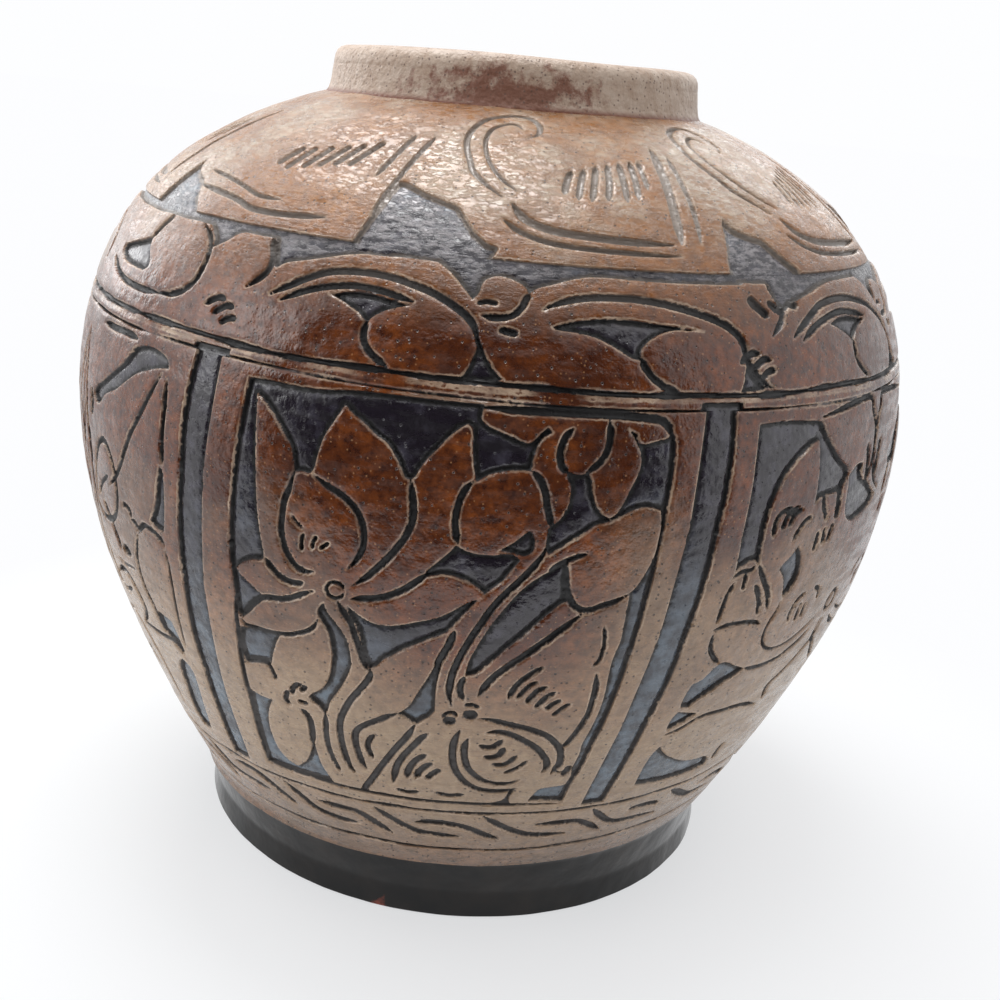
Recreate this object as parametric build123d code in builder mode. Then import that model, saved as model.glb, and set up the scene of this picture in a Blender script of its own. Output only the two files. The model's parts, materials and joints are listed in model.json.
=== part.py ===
"""Glazed stoneware storage jar: luted clay sections under a carved glaze coat.

The body is a flat slab, a foot ring and four wall sections, each scarfed to the next and luted
with slip. A collar and a rolled lip close the mouth. The carved coat lies on the walls: a plain
band, a fret band, six panels between pairs of posts, a rail, a band of scrolls and eight lappets.
The part stands on its foot at height zero, turned about the Z axis, with the front panel at -Y.
"""

import os
from math import asin, cos, radians, sin

from build123d import *

os.makedirs("parts", exist_ok=True)

# Belly, which the rest of the outside is set out from
BELLY_RADIUS = 200.0
BELLY_HEIGHT = 222.0

# How far the outside draws in from the belly where the profile's round stretches meet
FOOT_DRAW_IN = 62.0
HIP_DRAW_IN = 15.5
SHOULDER_DRAW_IN = 10.0
CROWN_DRAW_IN = 49.6
NECK_DRAW_IN = 112.3
FOOT_TOP_RADIUS = BELLY_RADIUS - FOOT_DRAW_IN
HIP_RADIUS = BELLY_RADIUS - HIP_DRAW_IN
SHOULDER_RADIUS = BELLY_RADIUS - SHOULDER_DRAW_IN
CROWN_RADIUS = BELLY_RADIUS - CROWN_DRAW_IN
NECK_RADIUS = BELLY_RADIUS - NECK_DRAW_IN

# Heights of the same points: two from the ground, and each of the others over the one below
FOOT_HEIGHT = 32.0
HIP_HEIGHT = 133.0
SHOULDER_RISE = 57.0
CROWN_RISE = 52.5
NECK_RISE = 30.0
SHOULDER_HEIGHT = BELLY_HEIGHT + SHOULDER_RISE
CROWN_HEIGHT = SHOULDER_HEIGHT + CROWN_RISE
NECK_HEIGHT = CROWN_HEIGHT + NECK_RISE

# Wall, coat and luting
WALL_THICKNESS = 12.5
COAT_THICKNESS = 1.5
SLIP_THICKNESS = 1.0

# Foot ring and base slab, set in from the foot's top
FOOT_BASE_INSET = 4.5
FOOT_WAIST_INSET = 5.4
FOOT_WAIST_HEIGHT = 13.0
FOOT_EDGE_CHAMFER = 1.2
SLAB_THICKNESS = 12.0
SLAB_RECESS = 2.0
SLAB_INSET = 17.5
FOOT_BASE_RADIUS = FOOT_TOP_RADIUS - FOOT_BASE_INSET
FOOT_WAIST_RADIUS = FOOT_TOP_RADIUS - FOOT_WAIST_INSET
SLAB_RADIUS = FOOT_TOP_RADIUS - SLAB_INSET

# Joints between the wall sections: height on the outside, and rise across each unit of wall
LOWER_JOINT_RISE = 17.0
LOWER_JOINT_SLOPE = 0.5
UPPER_JOINT_RISE = 18.0
UPPER_JOINT_SLOPE = 0.3
CROWN_JOINT_DROP = 23.5
CROWN_JOINT_SLOPE = -0.6
LOWER_JOINT_HEIGHT = HIP_HEIGHT + LOWER_JOINT_RISE
UPPER_JOINT_HEIGHT = BELLY_HEIGHT + UPPER_JOINT_RISE
CROWN_JOINT_HEIGHT = CROWN_HEIGHT - CROWN_JOINT_DROP

# Mouth: collar and rolled lip, set in from the neck
MOUTH_INSET = 17.7
SEAT_DEPTH = 12.5
COLLAR_TAPER = 4.1
COLLAR_HEIGHT = 13.0
LIP_HEIGHT = 8.2
LIP_INSET = 5.1
LIP_ROUNDING = 3.6
MOUTH_RADIUS = NECK_RADIUS - MOUTH_INSET
COLLAR_TOP_RADIUS = NECK_RADIUS - COLLAR_TAPER
LIP_RADIUS = NECK_RADIUS - LIP_INSET

# Carved lines that ring the jar, and the bands of coat between them
LINE_WIDTH = 2.4
FOOT_BAND_HEIGHT = 13.1
FRET_BAND_HEIGHT = 27.2
RAIL_LOW_DROP = 15.0
RAIL_LINE_DROP = 9.6
LAPPET_LINE_DROP = 20.5
FOOT_LINE_HEIGHT = FOOT_HEIGHT + FOOT_BAND_HEIGHT
FRET_LINE_HEIGHT = FOOT_LINE_HEIGHT + FRET_BAND_HEIGHT
RAIL_LOW_HEIGHT = SHOULDER_HEIGHT - RAIL_LOW_DROP
RAIL_LINE_HEIGHT = SHOULDER_HEIGHT - RAIL_LINE_DROP
LAPPET_LINE_HEIGHT = CROWN_HEIGHT - LAPPET_LINE_DROP

# Panels: six windows between pairs of posts, and the field that the outline shares follow
PANEL_COUNT = 6
STRIP_ANGLE = 3.6
PANEL_FIELD_ANGLE = 50.0
PANEL_FOOT_MARGIN = 7.7
PANEL_HEAD_MARGIN = 2.0
PANEL_FIELD_LOW = FRET_LINE_HEIGHT + PANEL_FOOT_MARGIN
PANEL_FIELD_HIGH = RAIL_LOW_HEIGHT - PANEL_HEAD_MARGIN

# Scroll band and lappets
SCROLL_COUNT = 11
LAPPET_COUNT = 8
LAPPET_FIELD_ANGLE = 50.0

# Fret band: one key stroke above the other in each repeat
FRET_COUNT = 21
FRET_STROKE_WIDTH = 2.6

# Ground cut away round the flower on the front panel, as shares of half the field across
# and of the whole field up
LOTUS_GROUND_SHARES = [
    [(-0.945, 0.985), (-0.70, 0.988), (-0.45, 0.998), (-0.10, 1.003), (0.13, 1.004), (0.135, 0.972),
     (0.20, 0.957), (0.26, 0.948), (0.335, 0.937), (0.385, 0.96), (0.41, 0.972), (0.43, 0.958),
     (0.378, 0.93), (0.372, 0.888), (0.335, 0.88), (0.27, 0.877), (0.20, 0.867), (0.15, 0.852),
     (0.125, 0.88), (0.10, 0.94), (0.09, 0.957), (0.02, 0.94), (-0.06, 0.89), (-0.105, 0.845),
     (-0.15, 0.84), (-0.21, 0.885), (-0.31, 0.92), (-0.42, 0.952), (-0.46, 0.966), (-0.525, 0.90),
     (-0.548, 0.83), (-0.60, 0.82), (-0.64, 0.815), (-0.675, 0.865), (-0.77, 0.915), (-0.885, 0.957),
     (-0.855, 0.88), (-0.825, 0.79), (-0.795, 0.70), (-0.755, 0.625), (-0.76, 0.608), (-0.87, 0.588),
     (-0.905, 0.572), (-0.84, 0.545), (-0.755, 0.522), (-0.83, 0.488), (-0.885, 0.452), (-0.925, 0.50),
     (-0.95, 0.60), (-0.955, 0.80)],
    [(0.515, 0.885), (0.57, 0.88), (0.61, 0.885), (0.64, 0.85), (0.70, 0.80), (0.733, 0.79),
     (0.785, 0.825), (0.825, 0.88), (0.825, 0.925), (0.775, 0.963), (0.81, 0.95), (0.88, 0.95),
     (0.95, 0.962), (0.975, 0.965), (0.995, 0.88), (1.0, 0.75), (1.01, 0.50), (1.015, 0.30),
     (1.005, 0.12), (0.985, 0.04), (0.985, -0.005), (0.755, 0.005), (0.795, 0.05), (0.945, 0.06),
     (0.945, 0.11), (0.935, 0.20), (0.95, 0.30), (0.93, 0.40), (0.93, 0.50), (0.905, 0.62),
     (0.955, 0.665), (0.978, 0.74), (0.96, 0.805), (0.86, 0.81), (0.77, 0.787), (0.68, 0.772),
     (0.60, 0.74), (0.505, 0.705), (0.48, 0.745), (0.48, 0.768), (0.52, 0.785), (0.547, 0.83)],
    [(0.11, 0.715), (0.20, 0.70), (0.33, 0.705), (0.395, 0.69), (0.355, 0.66), (0.265, 0.605),
     (0.20, 0.63), (0.09, 0.645), (0.0, 0.633), (0.04, 0.672)],
    [(0.29, 0.712), (0.385, 0.752), (0.43, 0.745), (0.435, 0.712), (0.36, 0.708)],
    [(-0.335, 0.545), (-0.28, 0.49), (-0.225, 0.405), (-0.205, 0.39), (-0.14, 0.42), (0.0, 0.47),
     (0.135, 0.51), (0.19, 0.555), (0.25, 0.60), (0.15, 0.568), (0.0, 0.53), (-0.15, 0.51),
     (-0.28, 0.527)],
    [(0.14, 0.45), (0.125, 0.37), (0.135, 0.295), (0.05, 0.247), (-0.06, 0.273), (0.01, 0.31),
     (0.055, 0.365), (0.115, 0.45)],
    [(-0.445, 0.54), (-0.38, 0.495), (-0.32, 0.455), (-0.295, 0.395), (-0.35, 0.32), (-0.41, 0.27),
     (-0.455, 0.235), (-0.535, 0.275), (-0.46, 0.305), (-0.405, 0.365), (-0.402, 0.43),
     (-0.455, 0.49), (-0.475, 0.51)],
    [(0.60, 0.695), (0.52, 0.67), (0.44, 0.637), (0.36, 0.578), (0.295, 0.51), (0.25, 0.44),
     (0.245, 0.40), (0.33, 0.425), (0.46, 0.505), (0.63, 0.60), (0.60, 0.66)],
    [(-0.90, 0.425), (-0.67, 0.428), (-0.71, 0.385), (-0.73, 0.345), (-0.80, 0.34), (-0.90, 0.327)],
    [(-0.92, 0.245), (-0.76, 0.232), (-0.81, 0.19), (-0.83, 0.13), (-0.80, 0.07), (-0.73, 0.035),
     (-0.68, 0.028), (-0.59, 0.07), (-0.53, 0.13), (-0.50, 0.055), (-0.43, 0.0), (-0.935, 0.0)],
    [(0.66, 0.05), (0.64, 0.015), (0.66, -0.005), (0.50, -0.003), (0.61, 0.02)],
]

# Ground round the wide flower of the next panel to the right: its left side, which is
# repeated turned over on its right side, and the gap over its middle
PEONY_SIDE_GROUND_SHARES = [
    [(-0.985, 0.98), (-0.70, 0.98), (-0.56, 0.972), (-0.44, 0.905), (-0.29, 0.852), (-0.32, 0.80),
     (-0.50, 0.793), (-0.545, 0.83), (-0.58, 0.93), (-0.73, 0.888), (-0.83, 0.81), (-0.84, 0.71),
     (-0.825, 0.655), (-0.92, 0.66), (-0.965, 0.645), (-0.99, 0.85)],
    [(-0.58, 0.685), (-0.52, 0.645), (-0.505, 0.60), (-0.55, 0.555), (-0.585, 0.555), (-0.63, 0.61),
     (-0.68, 0.635)],
    [(-0.83, 0.40), (-0.72, 0.38), (-0.62, 0.36), (-0.80, 0.31), (-0.90, 0.27), (-0.975, 0.31),
     (-0.965, 0.35), (-0.87, 0.385)],
    [(-0.96, 0.265), (-0.80, 0.245), (-0.975, 0.205)],
    [(-0.945, 0.155), (-0.83, 0.105), (-0.65, 0.065), (-0.45, 0.05), (-0.36, 0.005), (-0.96, 0.015),
     (-0.975, 0.12)],
]
PEONY_MIDDLE_GROUND_SHARES = [
    [(-0.25, 0.81), (-0.13, 0.83), (0.0, 0.80), (0.14, 0.83), (0.25, 0.81), (0.22, 0.74), (0.0, 0.71),
     (-0.22, 0.735)],
]

# Ground round the large leaves of the next panel to the left, made the same way
LEAF_SIDE_GROUND_SHARES = [
    [(0.66, 0.975), (0.75, 0.985), (0.85, 0.985), (0.97, 0.955), (0.80, 0.935), (0.62, 0.89),
     (0.46, 0.85), (0.34, 0.81), (0.24, 0.83), (0.40, 0.88), (0.55, 0.925)],
    [(0.975, 0.745), (1.01, 0.73), (1.02, 0.66), (1.0, 0.588), (0.89, 0.60), (0.945, 0.66)],
    [(0.80, 0.355), (0.93, 0.345), (0.98, 0.27), (0.96, 0.262), (0.80, 0.295)],
    [(0.92, 0.235), (0.97, 0.225), (0.985, 0.15), (0.94, 0.05), (0.915, 0.01), (0.80, 0.01),
     (0.775, 0.04), (0.81, 0.14), (0.87, 0.22)],
    [(0.52, 0.48), (0.56, 0.495), (0.62, 0.49), (0.64, 0.475), (0.60, 0.465), (0.55, 0.465)],
]

# Ground round one scroll, as shares of one repeat across and of the band's length up the wall
SCROLL_GROUND_SHARES = [
    [(0.28, 0.48), (0.34, 0.54), (0.42, 0.575), (0.50, 0.59), (0.66, 0.565), (0.84, 0.51), (0.72, 0.51),
     (0.635, 0.43), (0.605, 0.29), (0.56, 0.29), (0.47, 0.395), (0.36, 0.455)],
    [(1.02, 0.27), (1.05, 0.18), (1.13, 0.05), (0.99, 0.04), (1.005, 0.12)],
    [(0.0, 0.64), (0.03, 0.80), (0.07, 0.85), (0.12, 0.84), (0.17, 0.80), (0.19, 0.72), (0.22, 0.78),
     (0.32, 0.86), (0.45, 0.93), (-0.16, 0.93), (-0.05, 0.75)],
]
SCROLL_TOP_SHARE = 0.92

# Ground between two lappets, as shares of the lappet field across and of the crown's length up
LAPPET_GROUND_SHARES = [(-0.33, -0.05), (-0.31, 0.15), (-0.285, 0.34), (-0.18, 0.29), (-0.085, 0.245),
                        (-0.03, 0.14), (0.03, 0.07), (0.0, 0.02), (0.0, -0.05)]

# Key strokes of one fret repeat, as shares of the repeat across and of the band up
FRET_STROKE_SHARES = [
    [(0.0, 0.93), (0.15, 0.74), (0.32, 0.54), (0.45, 0.42), (0.60, 0.38), (0.82, 0.36)],
    [(0.37, 0.72), (0.55, 0.76), (0.75, 0.73), (0.90, 0.60), (1.02, 0.42), (1.15, 0.26)],
]

# One overrun serves every cut, and each joint's line reaches past the wall
OVERRUN = 20.0
JOINT_REACH = 40.0
PROFILE_STEPS = 40
FRONT_ANGLE = -90.0
FULL_TURN = 360.0


def profile():
    """Outside of the wall, with straight runs past the foot and the neck, in the open line block."""
    belly = (BELLY_RADIUS, BELLY_HEIGHT)
    hip = TangentArc(belly, (HIP_RADIUS, HIP_HEIGHT), tangent=(0, -1))
    foot = TangentArc(hip @ 1, (FOOT_TOP_RADIUS, FOOT_HEIGHT), tangent=hip % 1)
    Line(foot @ 1, foot @ 1 + foot % 1 * OVERRUN)
    turn = TangentArc(belly, (SHOULDER_RADIUS, SHOULDER_HEIGHT), tangent=(0, 1))
    crown = TangentArc(turn @ 1, (CROWN_RADIUS, CROWN_HEIGHT), tangent=turn % 1)
    neck = TangentArc(crown @ 1, (NECK_RADIUS, NECK_HEIGHT), tangent=crown % 1)
    Line(neck @ 1, neck @ 1 + neck % 1 * (NECK_RADIUS - MOUTH_RADIUS + OVERRUN))


with BuildLine() as outside:
    profile()

profile_arcs = outside.edges().filter_by(GeomType.CIRCLE).sort_by(Axis.Y)


def arc_angle(arc, height):
    """Angle of a height above the centre of one round stretch."""
    return asin((height - arc.arc_center.Y) / arc.radius)


def radius_at(height):
    """Outside radius at a height."""
    for arc in profile_arcs:
        if height <= arc.bounding_box().max.Y:
            break
    return arc.arc_center.X + arc.radius * cos(arc_angle(arc, height))


def length_to(height):
    """Length up the outside from the foot's top to a height."""
    total = 0
    for arc in profile_arcs:
        low = arc.bounding_box().min.Y
        high = min(arc.bounding_box().max.Y, height)
        if high > low:
            total += arc.radius * (arc_angle(arc, high) - arc_angle(arc, low))
    return total


def height_along(share, low, high):
    """Height that lies a share of the way up the outside between two heights."""
    target = length_to(low) + share * (length_to(high) - length_to(low))
    for arc in profile_arcs:
        start = arc.bounding_box().min.Y
        if target <= length_to(arc.bounding_box().max.Y):
            break
    angle = arc_angle(arc, start) + (target - length_to(start)) / arc.radius
    return arc.arc_center.Y + arc.radius * sin(angle)


def points_under(depth):
    """Points at even steps along the profile, each moved square to it into the wall by a depth."""
    path = outside.wires()[0]
    points = []
    for step in range(PROFILE_STEPS + 1):
        way = path % (step / PROFILE_STEPS)
        points.append(path @ (step / PROFILE_STEPS) + Vector(way.Y, -way.X) * depth)
    return points


def layer(outer_depth, inner_depth):
    """Section of the layer between two depths under the profile."""
    with BuildSketch() as section:
        with BuildLine():
            outer = Spline(*points_under(outer_depth))
            inner = Spline(*points_under(inner_depth))
            Line(outer @ 0, inner @ 0)
            Line(outer @ 1, inner @ 1)
        make_face()
    return section


# Sections of the coat, and of the wall under it with a seat for the collar
coat_section = layer(0, COAT_THICKNESS)
wall_layer = layer(COAT_THICKNESS, WALL_THICKNESS)
with BuildSketch() as wall_section:
    add(wall_layer.sketch_local)
    with Locations((MOUTH_RADIUS, NECK_HEIGHT)):
        Rectangle(COLLAR_TOP_RADIUS - MOUTH_RADIUS, SEAT_DEPTH, align=(Align.MIN, Align.MAX))
    add(coat_section.sketch_local, mode=Mode.SUBTRACT)


def joint_points(height, slope):
    """A joint's line across the wall: a point on the axis, one inside the wall, one outside it."""
    radius = radius_at(height)
    inside = height + slope * JOINT_REACH
    return (0, inside), (radius - JOINT_REACH, inside), (radius + JOINT_REACH, height - slope * JOINT_REACH)


def turn_section(section, low, high, start=0.0, sweep=FULL_TURN):
    """Ring or sector of a section between two lines, each given by a height and a slope."""
    way = Vector(1, 0).rotate(Axis.Z, start)
    with BuildPart() as ring:
        with BuildSketch(Plane(origin=(0, 0), x_dir=way, z_dir=way.rotate(Axis.Z, FRONT_ANGLE))):
            add(section.sketch_local)
            with BuildLine():
                Polyline(*joint_points(*low), *reversed(joint_points(*high)), close=True)
            make_face(mode=Mode.INTERSECT)
            with Locations((MOUTH_RADIUS / 2, NECK_HEIGHT)):
                Rectangle(MOUTH_RADIUS, NECK_HEIGHT, mode=Mode.SUBTRACT)
        revolve(axis=Axis.Z, revolution_arc=sweep)
    return ring


def save(piece, node):
    """Label a finished piece and write it."""
    piece.part.label = node
    export_step(piece.part, f"parts/{node}.step")


def outward_plane(angle, radius):
    """Upright plane that faces out from the axis at an angle, a radius away from it."""
    way = Vector(1, 0).rotate(Axis.Z, angle)
    return Plane(origin=way * radius, x_dir=way.rotate(Axis.Z, -FRONT_ANGLE), z_dir=way)


# Base: a flat slab inside the foot ring
slab_slip_radius = SLAB_RADIUS + SLIP_THICKNESS
with BuildPart() as base_slab:
    with BuildSketch(Plane.XY.offset(SLAB_RECESS)):
        Circle(SLAB_RADIUS)
    extrude(amount=SLAB_THICKNESS)
save(base_slab, "base_slab")

with BuildPart() as slab_slip:
    with BuildSketch(Plane.XY.offset(SLAB_RECESS)):
        Circle(slab_slip_radius)
        Circle(SLAB_RADIUS, mode=Mode.SUBTRACT)
    extrude(amount=SLAB_THICKNESS)
save(slab_slip, "slab_slip")

foot_seat_height = FOOT_HEIGHT - SLIP_THICKNESS
foot_seat_radius = FOOT_TOP_RADIUS - COAT_THICKNESS
with BuildPart() as foot_ring:
    with BuildSketch(Plane.XZ):
        with BuildLine():
            ThreePointArc((FOOT_BASE_RADIUS, 0), (FOOT_WAIST_RADIUS, FOOT_WAIST_HEIGHT),
                          (foot_seat_radius, foot_seat_height))
            Polyline((foot_seat_radius, foot_seat_height), (slab_slip_radius, foot_seat_height),
                     (slab_slip_radius, 0), (FOOT_BASE_RADIUS, 0))
        make_face()
    revolve(axis=Axis.Z)
    chamfer(edges().group_by(Axis.Z)[0].sort_by(SortBy.LENGTH)[-1], length=FOOT_EDGE_CHAMFER)
save(foot_ring, "foot_ring")

# Wall sections from the foot up, with a layer of slip in each joint
joints = [
    ("foot", FOOT_HEIGHT - SLIP_THICKNESS, 0.0),
    ("lower", LOWER_JOINT_HEIGHT, LOWER_JOINT_SLOPE),
    ("upper", UPPER_JOINT_HEIGHT, UPPER_JOINT_SLOPE),
    ("crown", CROWN_JOINT_HEIGHT, CROWN_JOINT_SLOPE),
    ("neck", NECK_HEIGHT - SLIP_THICKNESS, 0.0),
]
walls = ["lower_wall", "belly_wall", "shoulder_wall", "crown_wall"]

for name, height, slope in joints:
    slip = turn_section(wall_section, (height, slope), (height + SLIP_THICKNESS, slope))
    save(slip, f"{name}_slip")

for (_, low, low_slope), (_, high, high_slope), node in zip(joints, joints[1:], walls):
    wall = turn_section(wall_section, (low + SLIP_THICKNESS, low_slope), (high, high_slope))
    save(wall, node)

# Mouth: a collar on the crown and a rolled lip on the collar
lip_low = NECK_HEIGHT + COLLAR_HEIGHT
with BuildPart() as collar:
    with BuildSketch(Plane.XZ):
        with BuildLine():
            Polyline((MOUTH_RADIUS, NECK_HEIGHT), (NECK_RADIUS, NECK_HEIGHT),
                     (COLLAR_TOP_RADIUS, lip_low), (MOUTH_RADIUS, lip_low), close=True)
        make_face()
    revolve(axis=Axis.Z)
save(collar, "collar")

with BuildPart() as rim_lip:
    with BuildSketch(Plane.XY.offset(lip_low)):
        Circle(LIP_RADIUS)
        Circle(MOUTH_RADIUS, mode=Mode.SUBTRACT)
    extrude(amount=LIP_HEIGHT)
    fillet(edges().group_by(Axis.Z)[-1], radius=LIP_ROUNDING)
save(rim_lip, "rim_lip")


def panel_height(share):
    """Height at a share of the panels' field."""
    return PANEL_FIELD_LOW + share * (PANEL_FIELD_HIGH - PANEL_FIELD_LOW)


def fret_height(share):
    """Height at a share of the fret band."""
    return FOOT_LINE_HEIGHT + share * (FRET_LINE_HEIGHT - FOOT_LINE_HEIGHT)


def scroll_height(share):
    """Height at a share of the way up the scroll band."""
    return height_along(share, RAIL_LINE_HEIGHT, LAPPET_LINE_HEIGHT)


def lappet_height(share):
    """Height at a share of the way up the crown."""
    return height_along(share, LAPPET_LINE_HEIGHT, NECK_HEIGHT)


def flat_points(shares, unit_angle, height_at):
    """Outline on an outward plane of points given as shares of an angle and of a height."""
    points = []
    for across, up in shares:
        height = height_at(up)
        points.append((radius_at(height) * sin(radians(across * unit_angle)), height))
    return points


def ground_tool(angle, outlines, unit_angle, height_at):
    """Cutter for the ground round the ornament, square to the jar at an angle."""
    with BuildPart() as tool:
        with BuildSketch(outward_plane(angle, MOUTH_RADIUS)):
            for shares in outlines:
                with BuildLine():
                    Polyline(flat_points(shares, unit_angle, height_at), close=True)
                make_face()
        extrude(amount=BELLY_RADIUS)
    return tool


def turned_over(outlines):
    """The same outlines with left and right exchanged."""
    return [[(-across, up) for across, up in shares] for shares in outlines]


# Plain band and fret band over the foot
save(turn_section(coat_section, (FOOT_HEIGHT, 0.0), (FOOT_LINE_HEIGHT - LINE_WIDTH / 2, 0.0)), "coat_foot_band")

with BuildPart() as fret_tool:
    with BuildSketch(outward_plane(FRONT_ANGLE, MOUTH_RADIUS)):
        for shares in FRET_STROKE_SHARES:
            with BuildLine():
                Polyline(flat_points(shares, FULL_TURN / FRET_COUNT, fret_height))
            trace(line_width=FRET_STROKE_WIDTH)
    extrude(amount=BELLY_RADIUS)

fret_ring = turn_section(coat_section, (FOOT_LINE_HEIGHT + LINE_WIDTH / 2, 0.0),
                         (FRET_LINE_HEIGHT - LINE_WIDTH / 2, 0.0))
with BuildPart() as coat_fret_band:
    add(fret_ring.part)
    with PolarLocations(0, FRET_COUNT):
        add(fret_tool.part, mode=Mode.SUBTRACT)
save(coat_fret_band, "coat_fret_band")

# Panels, front first and then to the right round the jar
peony_shares = PEONY_SIDE_GROUND_SHARES + turned_over(PEONY_SIDE_GROUND_SHARES) + PEONY_MIDDLE_GROUND_SHARES
leaf_shares = LEAF_SIDE_GROUND_SHARES + turned_over(LEAF_SIDE_GROUND_SHARES)
panel_kinds = [LOTUS_GROUND_SHARES, peony_shares, leaf_shares]
panel_pitch = FULL_TURN / PANEL_COUNT
panel_angle = panel_pitch - STRIP_ANGLE

for place in range(PANEL_COUNT):
    middle = FRONT_ANGLE + place * panel_pitch
    plate = turn_section(coat_section, (FRET_LINE_HEIGHT + LINE_WIDTH / 2, 0.0), (RAIL_LOW_HEIGHT, 0.0),
                         middle - panel_angle / 2, panel_angle)
    cutter = ground_tool(middle, panel_kinds[place % len(panel_kinds)], PANEL_FIELD_ANGLE / 2, panel_height)
    with BuildPart() as panel:
        add(plate.part)
        add(cutter.part, mode=Mode.SUBTRACT)
    save(panel, f"coat_panel_{place + 1}")

# Rail, scroll band and lappets
save(turn_section(coat_section, (RAIL_LOW_HEIGHT, 0.0), (RAIL_LINE_HEIGHT - LINE_WIDTH / 2, 0.0)), "coat_rail")

scroll_tool = ground_tool(FRONT_ANGLE, SCROLL_GROUND_SHARES, FULL_TURN / SCROLL_COUNT, scroll_height)
scroll_ring = turn_section(coat_section, (RAIL_LINE_HEIGHT + LINE_WIDTH / 2, 0.0),
                           (scroll_height(SCROLL_TOP_SHARE), 0.0))
with BuildPart() as coat_scroll_band:
    add(scroll_ring.part)
    with PolarLocations(0, SCROLL_COUNT):
        add(scroll_tool.part, mode=Mode.SUBTRACT)
save(coat_scroll_band, "coat_scroll_band")

lappet_pitch = FULL_TURN / LAPPET_COUNT
lappet_tip = max(LAPPET_GROUND_SHARES, key=lambda share: share[1])[0] * LAPPET_FIELD_ANGLE
gap_tool = ground_tool(FRONT_ANGLE, [LAPPET_GROUND_SHARES], LAPPET_FIELD_ANGLE, lappet_height)
lappet_ring = turn_section(coat_section, (LAPPET_LINE_HEIGHT, 0.0), (NECK_HEIGHT, 0.0),
                           FRONT_ANGLE + lappet_tip, lappet_pitch)
with BuildPart() as lappet:
    add(lappet_ring.part)
    add(gap_tool.part, mode=Mode.SUBTRACT)
    add(gap_tool.part.rotate(Axis.Z, lappet_pitch), mode=Mode.SUBTRACT)

for place in range(LAPPET_COUNT):
    with BuildPart() as coat_lappet:
        add(lappet.part.rotate(Axis.Z, place * lappet_pitch))
    save(coat_lappet, f"coat_lappet_{place + 1}")
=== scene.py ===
"""Looks of a stoneware storage jar: carved glaze coat, black foot and tan collar, round its clay body."""

import json
import logging
import math
from dataclasses import dataclass, field
from enum import Enum
from typing import Any, Callable

import bpy
import numpy as np
from mathutils import Matrix, Vector


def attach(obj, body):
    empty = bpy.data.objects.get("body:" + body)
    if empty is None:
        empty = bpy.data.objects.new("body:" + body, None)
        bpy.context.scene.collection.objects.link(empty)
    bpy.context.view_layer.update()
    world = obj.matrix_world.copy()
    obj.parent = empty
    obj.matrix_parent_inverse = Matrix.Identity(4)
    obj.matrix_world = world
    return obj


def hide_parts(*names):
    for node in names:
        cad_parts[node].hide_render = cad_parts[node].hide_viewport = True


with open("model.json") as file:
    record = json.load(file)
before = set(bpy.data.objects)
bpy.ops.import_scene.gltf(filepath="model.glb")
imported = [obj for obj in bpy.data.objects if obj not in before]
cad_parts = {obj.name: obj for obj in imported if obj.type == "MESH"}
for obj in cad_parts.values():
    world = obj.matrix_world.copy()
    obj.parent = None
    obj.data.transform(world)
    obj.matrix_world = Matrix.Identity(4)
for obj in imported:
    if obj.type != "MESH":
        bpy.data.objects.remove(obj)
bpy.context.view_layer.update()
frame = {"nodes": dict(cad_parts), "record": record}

LOG = logging.getLogger("jar")
MM = 0.001

Outlines = list[list[tuple[float, ...]]]
Strokes = list[tuple[float, list[tuple[float, float]]]]
Pair = tuple[float, float]
Place = tuple[float, float, float]
Colour = tuple[float, float, float]
Span = tuple[float, ...]
Profile = tuple[tuple[float, float], ...]
Array = np.ndarray
Heights = Callable[[Array], Array]
Object = bpy.types.Object
Socket = bpy.types.NodeSocket
Material = bpy.types.Material


def ground_table(*rows: list[tuple[int, ...]]) -> Outlines:
    """Outlines whose places are given in thousandths, with the marks of their corners."""
    return [[(x / 1000, y / 1000, *mark) for x, y, *mark in row] for row in rows]


def stroke_table(*rows: tuple[float, list[tuple[int, int]]]) -> Strokes:
    """Strokes whose places are given in thousandths."""
    return [(width, [(x / 1000, y / 1000) for x, y in points]) for width, points in rows]


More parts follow.
